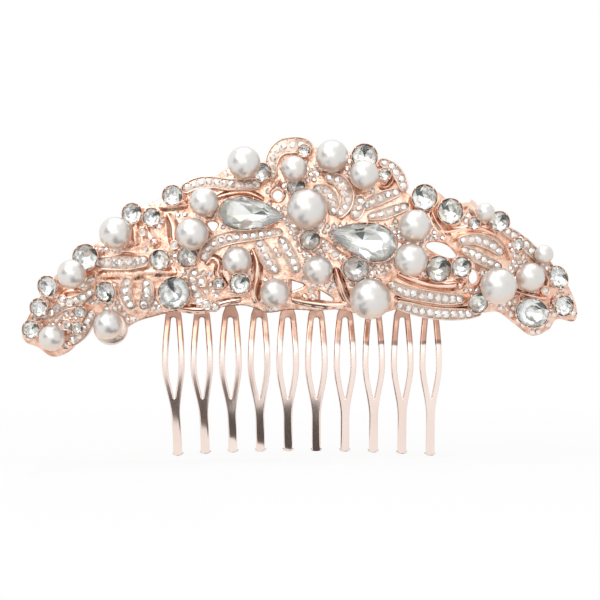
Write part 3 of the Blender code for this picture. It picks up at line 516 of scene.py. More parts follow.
def cast_rose_gold(finish, look):
    """Plated casting: soft lumps and a fine grain, redder and darker in the hollows, partly its own tone and
    partly painted shade, and rubbed paler on high spots.
    """
    lumps = 0.6 * finish.noise(420) + 0.4 * finish.noise(1000)
    # 0 in the hollows, where the darker tone is partly painted shade
    high = finish.ramp(lumps, [(0.38, 0), (0.58, 1)])
    relief = lumps + 0.12 * finish.noise(2400)
    return finish.surface(
        base_color=finish.blend(high, look.cast_deep, look.cast_colour),
        metallic=1.0,
        roughness=look.cast_roughness + 0.12 * finish.noise(700) - 0.06 * high,
        normal=finish.bump(relief, 0.6 * MM, 0.55),
    )


def plain_rose_gold(finish, look):
    """The plain back of the casting, with a soft bloom."""
    bloom = finish.patches(70, 3, 0.35, 0.65)
    return finish.surface(
        base_color=finish.blend(bloom, look.back_deep, look.back_colour),
        metallic=1.0,
        roughness=0.3 + 0.1 * bloom,
        normal=finish.bump(finish.noise(900, 3), 0.1 * MM, 0.4),
    )


def polished_rose_gold(finish, look):
    """Hand-polished scrolls: smoother than the casting, with faint ripples."""
    redder = finish.patches(340, 2, 0.35, 0.65)
    return finish.surface(
        base_color=finish.blend(redder, look.scroll_deep, look.scroll_colour),
        metallic=1.0,
        roughness=0.09 + 0.12 * finish.noise(1200),
        normal=finish.bump(finish.noise(900), 0.06 * MM, 0.5),
    )


def pale_plating(finish, look):
    """Pale plating of the bands, round and under the tiny stones."""
    thick = finish.patches(600, 3, 0.35, 0.65)
    return finish.surface(
        base_color=finish.blend(thick, look.band_deep, look.band_colour),
        metallic=1.0,
        roughness=0.22 + 0.16 * thick,
        normal=finish.bump(finish.noise(2200), 0.05 * MM, 0.7),
    )


def shaded_plating(finish, look):
    """Plating on the floors of the bands, between the tiny stones, darkened as painted shade."""
    paler = finish.patches(900, 2, 0.35, 0.65)
    return finish.surface(
        base_color=finish.blend(paler, look.floor_deep, look.band_deep),
        metallic=1.0,
        roughness=0.3 + 0.15 * paler,
    )


def comb_rose_gold(finish, look):
    """Plated sheet: pale, nearly mirror bright, with fine drawn lines; near the bar it has a redder painted
    reflection and painted shade of the ornament.

    The painted reflection fades out on most teeth.  On those at the right it ends sharply, with dark spots of
    painted reflection.
    """
    lines = finish.add(
        "ShaderNodeMapping", sockets={"Vector": finish.places(), "Scale": (2400, 2400, 60)}
    )
    drawn = finish.noise(1.0, 2, lines)
    bright = finish.patches(120, 3, 0.35, 0.7)
    across, height = [
        finish.add("ShaderNodeSeparateXYZ", sockets={"Vector": finish.places()}, output=axis) for axis in "XZ"
    ]
    at_right = finish.ramp(across * 25 + 0.5, [(0.55, 0), (0.85, 1)])
    at_left = finish.ramp(0.5 - across * 25, [(0.65, 0), (0.9, 1)])
    # Where the painted reflection and shade near the bar fade out, or end sharply on the teeth at the right
    level = height * 100 + 0.16 * finish.noise(260) + 1.13 + 0.12 * at_left
    soft = finish.ramp(level, [(0.42, 0), (0.74, 1)])
    sharp = finish.ramp(level, [(0.52, 0), (0.58, 1)])
    end = finish.ramp(level, [(0.49, 0), (0.53, 1), (0.57, 1), (0.63, 0)])
    # Dark spots of painted reflection where it ends on the teeth at the right
    spots = 0.85 * end * at_right * finish.patches(120, 1, 0.4, 0.5)
    pale = finish.blend(bright, look.comb_deep, look.comb_colour)
    # The ornament's painted reflection and shade near the bar, mottled, and darker on the teeth at both ends
    mottled_root_reflection = finish.blend(finish.patches(500, 2, 0.4, 0.6), look.comb_root, look.comb_root_deep)
    redder = finish.blend(0.8 * at_right + at_left, mottled_root_reflection, look.comb_root_deep)
    tone = finish.blend(soft + at_right * (sharp - soft), pale, redder)
    return finish.surface(
        base_color=finish.blend(spots, tone, look.comb_dark),
        metallic=1.0,
        roughness=look.comb_roughness + 0.1 * drawn - 0.04 * bright,
        normal=finish.bump(drawn, 0.01 * MM, 0.4),
    )


def plain_comb_gold(finish, look):
    """The back of the plated sheet: pale, with a soft bloom."""
    bloom = finish.patches(120, 3, 0.35, 0.7)
    return finish.surface(
        base_color=finish.blend(bloom, look.comb_back_deep, look.comb_back),
        metallic=1.0,
        roughness=look.comb_roughness + 0.1 * bloom,
        normal=finish.bump(finish.noise(1400), 0.01 * MM, 0.4),
    )


def pearl_nacre(finish, look):
    """Pearly lacquer: a soft metallic lustre under a clear coat, warmer in places, with a painted reflection
    of the rose gold towards the back.
    """
    skin = finish.noise(1500)
    body = finish.blend(finish.patches(150, 2, 0.4, 0.7), look.pearl_colour, look.pearl_blush)
    depth = finish.add("ShaderNodeAttribute", {"attribute_name": PEARL_DEPTH}, output="Fac")
    reflected_waist = finish.ramp(depth, [(0.3, 0), (0.56, 1)])
    return finish.surface(
        base_color=finish.blend(reflected_waist, body, look.pearl_waist),
        metallic=0.6,
        roughness=look.pearl_roughness + 0.06 * skin,
        coat_weight=0.4,
        coat_roughness=0.05,
        normal=finish.bump(skin, 0.01 * MM, 0.3),
    )


def cut_crystal(finish, look):
    """Clear lead glass of the stones' crowns, very slightly clouded."""
    return finish.surface(
        base_color=(*look.crystal_colour, 1),
        roughness=0.02 + 0.03 * finish.noise(500),
        ior=look.crystal_index,
        transmission_weight=1.0,
    )


def silver_foil(finish, look):
    """Silver foil on the stones' backs, a little uneven and tinted in places."""
    uneven = finish.noise(420)
    tinted = finish.patches(340, 2, 0.45, 0.68)
    return finish.surface(
        base_color=finish.blend(tinted, look.foil_colour, look.foil_tint),
        metallic=0.76,
        roughness=0.14 + 0.12 * uneven,
        normal=finish.bump(uneven, 0.08 * MM, 0.35),
    )


def dark_foil(finish, look):
    """Foil with a painted dark reflection behind a few facets, which look dark from most sides."""
    dark_reflection = finish.noise(700)
    return finish.surface(
        base_color=finish.blend(dark_reflection, look.foil_dark, lighter(look.foil_dark, 1.8)),
        metallic=1.0,
        roughness=0.2 + 0.1 * dark_reflection,
    )


def pave_crystal(finish, look):
    """Tiny foiled crystals, some of them with a painted warm reflection of the metal."""
    warm = finish.patches(1100, 1, 0.5, 0.72)
    return finish.surface(
        base_color=finish.blend(warm, look.pave_colour, look.pave_tint),
        metallic=0.6,
        roughness=0.05 + 0.1 * warm,
        coat_weight=0.5,
        coat_roughness=0.02,
    )


class Dome:
    """The shallow dome that the ornament is pressed to, and the comb behind it."""

    FIT_ROUNDS = 20

    def __init__(self):
        shape = settings("shape")
        comb = settings("comb")
        self.bow = shape.bow_radius
        self.radius = shape.dome_radius
        self.level = shape.dome_level
        self.setback = shape.plate_thickness + comb.solder_gap + comb.thickness / 2
        self.front = -self.setback - self.fall(0, 0)

    def fall(self, x, z):
        """How far the dome falls back behind its foremost point."""
        return x * x / (2 * self.bow) + (z - self.level) ** 2 / (2 * self.radius)

    def out(self, x, z):
        return Vector((x / self.bow, -1, (z - self.level) / self.radius)).normalized()

    def point(self, x, z, height):
        """A point at a height over the plate's front."""
        return Vector((x, self.front + self.fall(x, z), z)) + self.out(x, z) * height

    def under(self, point):
        """The place on the plate under a point: x, z and the point's height over it."""
        x, z = point.x, point.z
        for _ in range(self.FIT_ROUNDS):
            out = self.out(x, z)
            height = (point.y - self.front - self.fall(x, z)) / out.y
            x, z = point.x - out.x * height, point.z - out.z * height
        return x, z, height

    def frame(self, x, z, height, turn=0):
        """A frame on the dome: its third axis out of the front, its first turned from across."""
        return upright(self.out(x, z), self.point(x, z, height), turn)


def eased(part):
    """A share from 0 to 1 that starts and ends gently."""
    part = min(max(part, 0), 1)
    return part * part * (3 - 2 * part)


def upright(out, place, turn=0):
    """A frame at a place whose third axis is out and whose first axis is level before it is turned."""
    across = Vector((-out.y, out.x, 0)).normalized()
    rows = Matrix((across, out.cross(across), out))
    return Matrix.Translation(place) @ rows.transposed().to_4x4() @ Matrix.Rotation(turn, 4, "Z")


def spline(a, b, c, d, t):
    """A point between b and c on a smooth curve through all four."""
    bow = (2 * a - 5 * b + 4 * c - d) * t * t + (3 * b - a - 3 * c + d) * t ** 3
    return (2 * b + (c - a) * t + bow) * 0.5


class Line:
    """A smooth drawn line of x, z and width, read by its length from the start."""

    STEPS = 10

    def __init__(self, rows):
        points = [Vector(row) * MM for row in rows]
        padded = [2 * points[0] - points[1], *points, 2 * points[-1] - points[-2]]
        self.samples = []
        for a, b, c, d in zip(padded, padded[1:], padded[2:], padded[3:]):
            self.samples += [spline(a, b, c, d, step / self.STEPS) for step in range(self.STEPS)]
        self.samples.append(points[-1])
        self.marks = [0.0]
        for a, b in zip(self.samples, self.samples[1:]):
            self.marks.append(self.marks[-1] + (b.xy - a.xy).length)
        self.length = self.marks[-1]

    def at(self, distance):
        """Place, half width and side direction at a distance along the line."""
        i = min(max(bisect.bisect_right(self.marks, distance), 1), len(self.marks) - 1)
        a, b = self.samples[i - 1], self.samples[i]
        spot = a.lerp(b, (distance - self.marks[i - 1]) / (self.marks[i] - self.marks[i - 1]))
        along = (b.xy - a.xy).normalized()
        return spot.xy, self.rounded(spot.z / 2, distance), Vector((-along.y, along.x))

    def rounded(self, half, distance):
        """Half the width, brought in to a round end."""
        near = min(distance, self.length - distance)
        if near >= half:
            return half
        return math.sqrt(max(half * half - (half - near) ** 2, 0))

    def stations(self, step):
        """Distances along the line, closer together where the ends are round."""
        first = self.samples[0].z / 2
        last = self.samples[-1].z / 2
        turns = [math.radians(angle) for angle in (14, 30, 48, 68)]
        count = max(round((self.length - first - last) / step), 1)
        body = [first + (self.length - first - last) * i / count for i in range(count + 1)]
        start = [first * (1 - math.cos(turn)) for turn in turns]
        end = [self.length - last * (1 - math.cos(turn)) for turn in reversed(turns)]
        return start + body + end


def declared(piece, nodes):
    """Ties a piece to the frame's body and hides the nodes that it stands for."""
    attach(piece, "root")
    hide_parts(*nodes)
    return piece


def new_object(name, mesh):
    made = bpy.data.objects.new(name, mesh)
    bpy.context.scene.collection.objects.link(made)
    return made


def new_piece(name, shape, materials, nodes, smooth_angle=None, closed=True):
    """A piece of the ornament from a bmesh, with the faces of closed forms outwards."""
    if closed:
        bmesh.ops.recalc_face_normals(shape, faces=shape.faces)
    mesh = bpy.data.meshes.new(name)
    shape.to_mesh(mesh)
    shape.free()
    for material in materials:
        mesh.materials.append(material)
    if smooth_angle:
        mesh.shade_smooth()
        mesh.set_sharp_from_angle(angle=math.radians(smooth_angle))
    return declared(new_object(name, mesh), nodes)


def face_front(shape):
    """Turns a sheet's faces to the front."""
    shape.normal_update()
    for face in shape.faces:
        if face.normal.y > 0:
            face.normal_flip()


def thicken(piece, thickness, offset, edge_width, segments):
    """Gives a sheet its thickness, the second material behind, and rounded edges."""
    piece.data.shade_smooth()
    sheet = piece.modifiers.new("Thickness", "SOLIDIFY")
    sheet.thickness = thickness
    sheet.offset = offset
    sheet.material_offset = 1
    edge = piece.modifiers.new("Rounded edges", "BEVEL")
    edge.width = edge_width
    edge.segments = segments
    edge.limit_method = "ANGLE"
    edge.angle_limit = math.radians(50)
    edge.use_clamp_overlap = False
    edge.harden_normals = True


def loft(shape, rings, inlay=()):
    """A closed skin over rings with the same number of points; the inlaid sides have the second material."""
    rows = [[shape.verts.new(point) for point in ring] for ring in rings]
    for a, b in zip(rows, rows[1:]):
        for i in range(len(a)):
            j = (i + 1) % len(a)
            shape.faces.new((a[i], a[j], b[j], b[i])).material_index = int(i in inlay)
    shape.faces.new(rows[0][::-1])
    shape.faces.new(rows[-1])


def turned(shape, profile, sides, place, plan=None):
    """A turned form from a profile of radius and height that starts and ends on the axis."""
    rows = []
    for radius, height in profile:
        count = sides if radius else 1
        ring = []
        for i in range(count):
            angle = 2 * math.pi * i / count
            point = Vector((radius * math.cos(angle), radius * math.sin(angle), height))
            ring.append(shape.verts.new(place @ (plan(point) if plan else point)))
        rows.append(ring)
    for a, b in zip(rows, rows[1:]):
        for i in range(sides):
            j = i + 1
            corners = [a[i % len(a)], b[i % len(b)], b[j % len(b)], a[j % len(a)]]
            shape.faces.new(list(dict.fromkeys(corners)))


def arc(centre, radius, start, end, count):
    """Points of an arc in a profile, from one angle in degrees to another."""
    angles = [math.radians(start + (end - start) * i / count) for i in range(count + 1)]
    return [(centre[0] + radius * math.cos(a), centre[1] + radius * math.sin(a)) for a in angles]


def long_reach(radius, length, width):
    """How far along a long stone a radius of its round plan reaches; rims keep their width."""
    return radius + (length / width - 1) * min(radius, width / 2)


def pear_plan(length, width):
    """Turns a round plan into a pear with its point along its first axis."""
    steepest = math.acos(1 / math.sqrt(2 + PEAR_POINT))
    widest = math.sin(2 * steepest) * math.sin(steepest) ** PEAR_POINT

    def shaped(point):
        angle = math.atan2(point.y, point.x)
        radius = math.hypot(point.x, point.y)
        side = math.sin(angle) * abs(math.sin(angle / 2)) ** PEAR_POINT / widest
        return Vector((long_reach(radius, length, width) * math.cos(angle), radius * side, point.z))

    return shaped


def oval_plan(length, width):
    def shaped(point):
        angle = math.atan2(point.y, point.x)
        reach = long_reach(math.hypot(point.x, point.y), length, width)
        return Vector((reach * math.cos(angle), point.y, point.z))

    return shaped


class Gem:
    """Where a gem of the frame stands, read from its CAD node."""

    def __init__(self, node, dome):
        self.node = node
        self.points = [vertex.co.copy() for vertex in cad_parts[node].data.vertices]
        low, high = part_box(node)
        middle = (Vector(low) + Vector(high)) / 2
        self.rough_out = dome.out(middle.x, middle.z)
        self.foot = min(self.points, key=self.rough_out.dot)
        self.top = max(self.points, key=self.rough_out.dot)
        self.dome = dome

    def off_axis(self, axis, origin):
        """The point that is farthest from an axis, and its distance."""
        spread = [((p - origin) - axis * (p - origin).dot(axis)).length for p in self.points]
        widest = max(spread)
        return self.points[spread.index(widest)], widest


class Stone(Gem):
    """A cut stone on its point, with its width and plan."""

    def __init__(self, node, dome):
        super().__init__(node, dome)
        self.x, self.z, self.height = dome.under(self.foot)
        out = dome.out(self.x, self.z)
        self.turn = 0
        self.plan = None
        if node in LONG_STONES:
            outline, length, width, turn = LONG_STONES[node]
            plans = {"pear": pear_plan, "oval": oval_plan}
            self.plan = plans[outline](length * MM, width * MM)
            self.width = width * MM
            self.reach = length * MM / 2
            self.turn = math.radians(turn)
        else:
            self.width = 2 * self.off_axis(out, self.foot)[1]
            self.reach = self.width / 2
        self.place = dome.frame(self.x, self.z, self.height, self.turn)


class Pearl(Gem):
    """A pearl, with its centre and radius."""

    def __init__(self, node, dome):
        super().__init__(node, dome)
        out = FRONT
        self.top = max(self.points, key=out.dot)
        self.x, self.z = self.top.x, self.top.z
        across = self.off_axis(out, self.top)[0] - self.top
        self.radius = -across.length_squared / (2 * across.dot(out))
        self.reach = self.radius
        foot = self.top - out * (2 * self.radius)
        self.height = dome.front + dome.fall(self.x, self.z) - foot.y
        self.place = upright(out, foot)


def stone_nodes():
    return [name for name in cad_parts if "stone" in name]


def pearl_nodes():
    return [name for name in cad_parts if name.startswith("pearl")]


class Gems:
    """Every gem on the dome, to keep the metalwork out of them."""

    def __init__(self, dome):
        self.dome = dome
        self.stones = [Stone(node, dome) for node in stone_nodes()]
        self.pearls = [Pearl(node, dome) for node in pearl_nodes()]

    def ceiling(self, x, z):
        """Height of the lowest gem over a place on the plate."""
        low = math.inf
        for pearl in self.pearls:
            away = math.hypot(x - pearl.x, z - pearl.z)
            if away < pearl.radius:
                low = min(low, pearl.height + pearl.radius - math.sqrt(pearl.radius ** 2 - away ** 2))
        for stone in self.stones:
            local = stone.place.inverted() @ self.dome.point(x, z, stone.height)
            away = math.hypot(local.x * stone.width / 2 / stone.reach, local.y) * 2 / stone.width
            if away < CONE_END:
                low = min(low, stone.height + (away - CONE_START) * stone.width * PAVILION_SHARE)
        return low

    def rise_at(self, place, side, half, rise):
        """A form's rise at a place, kept under any gem there."""
        spots = [place + side * (half * share) for share in (-1, -0.5, 0, 0.5, 1)]
        return max(min([rise] + [self.ceiling(*spot) for spot in spots]), LEAST_RISE)


class Field:
    """Small things set on the dome: where each is, which way is out, and how wide it is."""

    def __init__(self):
        self.places = []
        self.outs = []
        self.sizes = []

    def add(self, place, out, size):
        self.places.append(place)
        self.outs.extend(out)
        self.sizes.append(size)

    def set_in_place(self, name, tree, finish, slot, tilt, seed):
        """Sets the tree's form at every place, and keeps the result as a plain mesh."""
        mesh = bpy.data.meshes.new(name + "_places")
        mesh.from_pydata(self.places, [], [])
        mesh.attributes.new("out", "FLOAT_VECTOR", "POINT").data.foreach_set("vector", self.outs)
        mesh.attributes.new("size", "FLOAT", "POINT").data.foreach_set("value", self.sizes)
        piece = new_object(name, mesh)
        modifier = piece.modifiers.new("Set in place", "NODES")
        modifier.node_group = tree
        given = {"Tilt": tilt, "Seed": seed, "Finish": finish}
        for socket in tree.interface.items_tree:
            if socket.name in given:
                modifier[socket.identifier] = given[socket.name]
        evaluated = piece.evaluated_get(bpy.context.evaluated_depsgraph_get())
        result = bpy.data.meshes.new_from_object(evaluated)
        piece.modifiers.remove(modifier)
        piece.data = result
        result.name = name
        return declared(piece, ["cast_frame"])


def setting_tree(name, add_form):
    """A tree that sets a small form on every point, turned outwards, tilted and spun at random."""
    tree = bpy.data.node_groups.new(name, "GeometryNodeTree")
    sockets = {"Geometry": "Geometry", "Tilt": "Float", "Seed": "Int", "Finish": "Material"}
    for label, kind in sockets.items():
        tree.interface.new_socket(label, in_out="INPUT", socket_type="NodeSocket" + kind)
    tree.interface.new_socket("Geometry", in_out="OUTPUT", socket_type="NodeSocketGeometry")
    nodes = Nodes(tree)

    def given(label):
        return nodes.add("NodeGroupInput", output=label)

    def carried(label, kind):
        return nodes.add("GeometryNodeInputNamedAttribute", {"data_type": kind}, {"Name": label})

    def chance(low, high, salt):
        sockets = {2: low, 3: high, "Seed": given("Seed") + salt}
        return nodes.add("FunctionNodeRandomValue", {"data_type": "FLOAT"}, sockets, output=1)

    tilt = given("Tilt")
    turn = nodes.add("ShaderNodeCombineXYZ", sockets={
        "X": chance(-1 * tilt, tilt, 1), "Y": chance(-1 * tilt, tilt, 2), "Z": chance(0, 2 * math.pi, 3),
    })
    aligned = nodes.add(
        "FunctionNodeAlignRotationToVector", {"axis": "Z"}, {"Vector": carried("out", "FLOAT_VECTOR")}
    )
    rotation = nodes.add("FunctionNodeRotateRotation", {"rotation_space": "LOCAL"}, {
        "Rotation": aligned, "Rotate By": nodes.add("FunctionNodeEulerToRotation", sockets={"Euler": turn}),
    })
    placed = nodes.add("GeometryNodeInstanceOnPoints", sockets={
        "Points": given("Geometry"), "Instance": add_form(nodes), "Rotation": rotation,
        "Scale": carried("size", "FLOAT"),
    })
    real = nodes.add("GeometryNodeRealizeInstances", sockets={"Geometry": placed})
    covered = nodes.add("GeometryNodeSetMaterial", sockets={"Geometry": real, "Material": given("Finish")})
    nodes.add("NodeGroupOutput", sockets={"Geometry": covered})
    return tree


def tiny_stone(nodes):
    """A low faceted crown, one unit wide."""
    return nodes.add("GeometryNodeMeshCone", {"fill_type": "NGON"}, {
        "Vertices": 8, "Radius Top": 0.25, "Radius Bottom": 0.5, "Depth": 0.17,
    })


def grain(nodes):
    """A smooth grain of metal, one unit wide."""
    ball = nodes.add("GeometryNodeMeshUVSphere", sockets={"Segments": 8, "Rings": 6, "Radius": 0.5})
    return nodes.add("GeometryNodeSetShadeSmooth", sockets={"Geometry": ball})


# The sides of a channel's section that are its floor, and all the sides of a scroll's section
CHANNEL_FLOOR = (5, 6, 7, 8)
SCROLL_SIDES = range(13)


def channel_section(half, rise, sizes):
    """Side and height of a channel's section: foot, wall, round rim, and a floor between the rims."""
    rim = min(sizes.rim_width, half * 0.45)
    inner = half - rim
    floor = max(rise - sizes.floor_depth, 0)
    foot = -sizes.plate_thickness / 2
    left = arc((rim / 2 - half, rise - rim / 2), rim / 2, 180, 0, 4)
    right = [(-side, height) for side, height in reversed(left)]
    middle = [(-inner, floor), (0, floor + inner * 0.15), (inner, floor)]
    return [(-half, foot), *left, *middle, *right, (half, foot)]


def scroll_section(half, rise, sizes):
    """Side and height of a scroll's section: a ridge that runs out softly into the plate."""
    count = 10
    top = []
    for i in range(count + 1):
        side = 2 * i / count - 1
        top.append((1.2 * half * side, rise * (1 - side * side) ** 1.5))
    foot = -sizes.plate_thickness / 2
    return [(-1.2 * half, foot), *top, (1.2 * half, foot)]


def run_section(shape, line, rise, section, dome, gems, inlay=()):
    """Lofts a section along a line on the dome, lower where the line is narrow or passes under a gem."""
    sizes = settings("shape")
    widest = max(sample.z for sample in line.samples) / 2
    rings = []
    for distance in line.stations(SECTION_STEP):
        place, half, side = line.at(distance)
        height = gems.rise_at(place, side, half, rise * (NARROW_RISE + (1 - NARROW_RISE) * half / widest))
        ring = []
        for offset, level in section(half, height, sizes):
            spot = place + side * offset
            ring.append(dome.point(spot.x, spot.y, level))
        rings.append(ring)
    loft(shape, rings, inlay)


def fill_band(stones, grains, line, rise, dome, gems):
    """A row of tiny stones along a band, with grains between them."""
    sizes = settings("shape")
    pitch = sizes.stone_pitch
    count = max(round((line.length - 2 * sizes.rim_width) / pitch), 1)
    widest = max(sample.z for sample in line.samples) / 2

    def set_one(field, distance, across, width, sunk):
        place, half, side = line.at(distance)
        level = rise * (NARROW_RISE + (1 - NARROW_RISE) * half / widest)
        spot = place + side * ((half - sizes.rim_width) * across)
        if gems.ceiling(*spot) > level:
            field.add(dome.point(*spot, level - sunk), dome.out(*spot), width)

    for step in range(count):
        middle = sizes.rim_width + (step + 0.5) * (line.length - 2 * sizes.rim_width) / count
        width = min(2 * (line.at(middle)[1] - sizes.rim_width), pitch) * 0.96
        if width > 0.5 * MM:
            set_one(stones, middle, 0, width, 0.12 * MM)
        for across in (-0.86, 0.86):
            distance = middle + pitch / 2
            if step < count - 1 and line.at(distance)[1] > 0.7 * MM:
                set_one(grains, distance, across, sizes.bead_size, 0.2 * MM)


def cut_stone(shape, stone):
    """A simple cut: glass crown with the first material, foiled back with the others."""
    count = 10 if stone.plan else 8
    radius = stone.width / 2
    girdle = stone.width * PAVILION_SHARE
    crown = stone.width * CROWN_SHARE
    edge = stone.width * EDGE_SHARE
    depth = stone.width * (LONG_BACK_SHARE if stone.plan else BACK_SHARE)

    def ring(share, level, offset=0.0):
        verts = []
        for i in range(count):
            angle = 2 * math.pi * (i + offset) / count
            point = Vector((math.cos(angle), math.sin(angle), 0)) * (radius * share)
            point.z = level
            verts.append(shape.verts.new(stone.place @ (stone.plan(point) if stone.plan else point)))
        return verts

    top = ring(TABLE_SHARE, girdle + crown, 0.5)
    rim = ring(1, girdle + edge)
    under = ring(1, girdle - edge)
    low = ring(0.5, girdle - depth * 0.55, 0.5)
    point = shape.verts.new(stone.place @ Vector((0, 0, girdle - depth)))

    def facet(corners, material):
        shape.faces.new(corners).material_index = material

    # Painted dark reflection on the foil behind one side of the back, most often towards the right
    chance = random.Random(stone.node)
    clock = math.radians(chance.gauss(20, 35))
    towards = Vector((math.cos(clock), 0, math.sin(clock)))
    dark_reflection = max(range(count), key=lambda i: towards.dot(low[i].co))
    pointed = "pear" in stone.node
    inner = pointed or chance.random() < 0.5
    facet(top, 0)
    for i in range(count):
        after = (i + 1) % count
        facet((top[i], rim[i], rim[after]), 0)
        facet((top[i], rim[after], top[after]), 0)
        facet((rim[i], under[i], under[after], rim[after]), 1)
        facet((under[i], low[i], under[after]), 2 if i == dark_reflection and not pointed else 1)
        facet((low[i], low[after], under[after]), 2 if i == dark_reflection and not pointed else 1)
        facet((low[i], point, low[after]), 2 if i == dark_reflection and inner else 1)


def collet(shape, stone, sizes):
    """A rim round a stone's girdle on a cup and stem that go down into the plate."""
    radius = stone.width / 2
    girdle = stone.width * PAVILION_SHARE
    wall = sizes.collet_wall
    outer = radius + wall
    lip = arc((radius + wall / 2, girdle + 0.02 * MM), wall / 2, 180, 0, 5)
    stem = min(0.55 * MM, radius * 0.6)
    root = -stone.height - sizes.plate_thickness * ROOT_SHARE
    profile = [
        (0, -0.12 * MM), (radius - 0.02 * MM, girdle - 0.16 * MM), *lip,
        (outer * 0.93, girdle * 0.6), (stem, -CUP_FLOOR), (stem, root), (0, root),
    ]
    turned(shape, profile, 32 if stone.plan is None else 48, stone.place, stone.plan)


def pearl_cup(shape, pearl, sizes):
    """A shallow cup under a pearl on a post that goes down into the plate."""
    root = -pearl.height - sizes.plate_thickness * ROOT_SHARE
    centre = (0, pearl.radius)
    inside = arc(centre, pearl.radius - 0.05 * MM, 270, 308, 4)
    outside = arc(centre, pearl.radius + 0.22 * MM, 308, 285, 3)
    profile = [(0, 0.05 * MM), *inside[1:], *outside]
    neck = max(root, outside[-1][1] - 0.6 * MM)
    profile += [(sizes.post_radius, neck), (sizes.post_radius, root), (0, root)]
    turned(shape, profile, 28, pearl.place)


def seen_light(nodes):
    """1 for what is seen directly, in a reflection or through glass, and 0 for the light on surfaces."""
    kinds = ("Is Camera Ray", "Is Glossy Ray", "Is Transmission Ray")
    camera, glossy, through = [nodes.add("ShaderNodeLightPath", output=kind) for kind in kinds]
    return camera + glossy + through


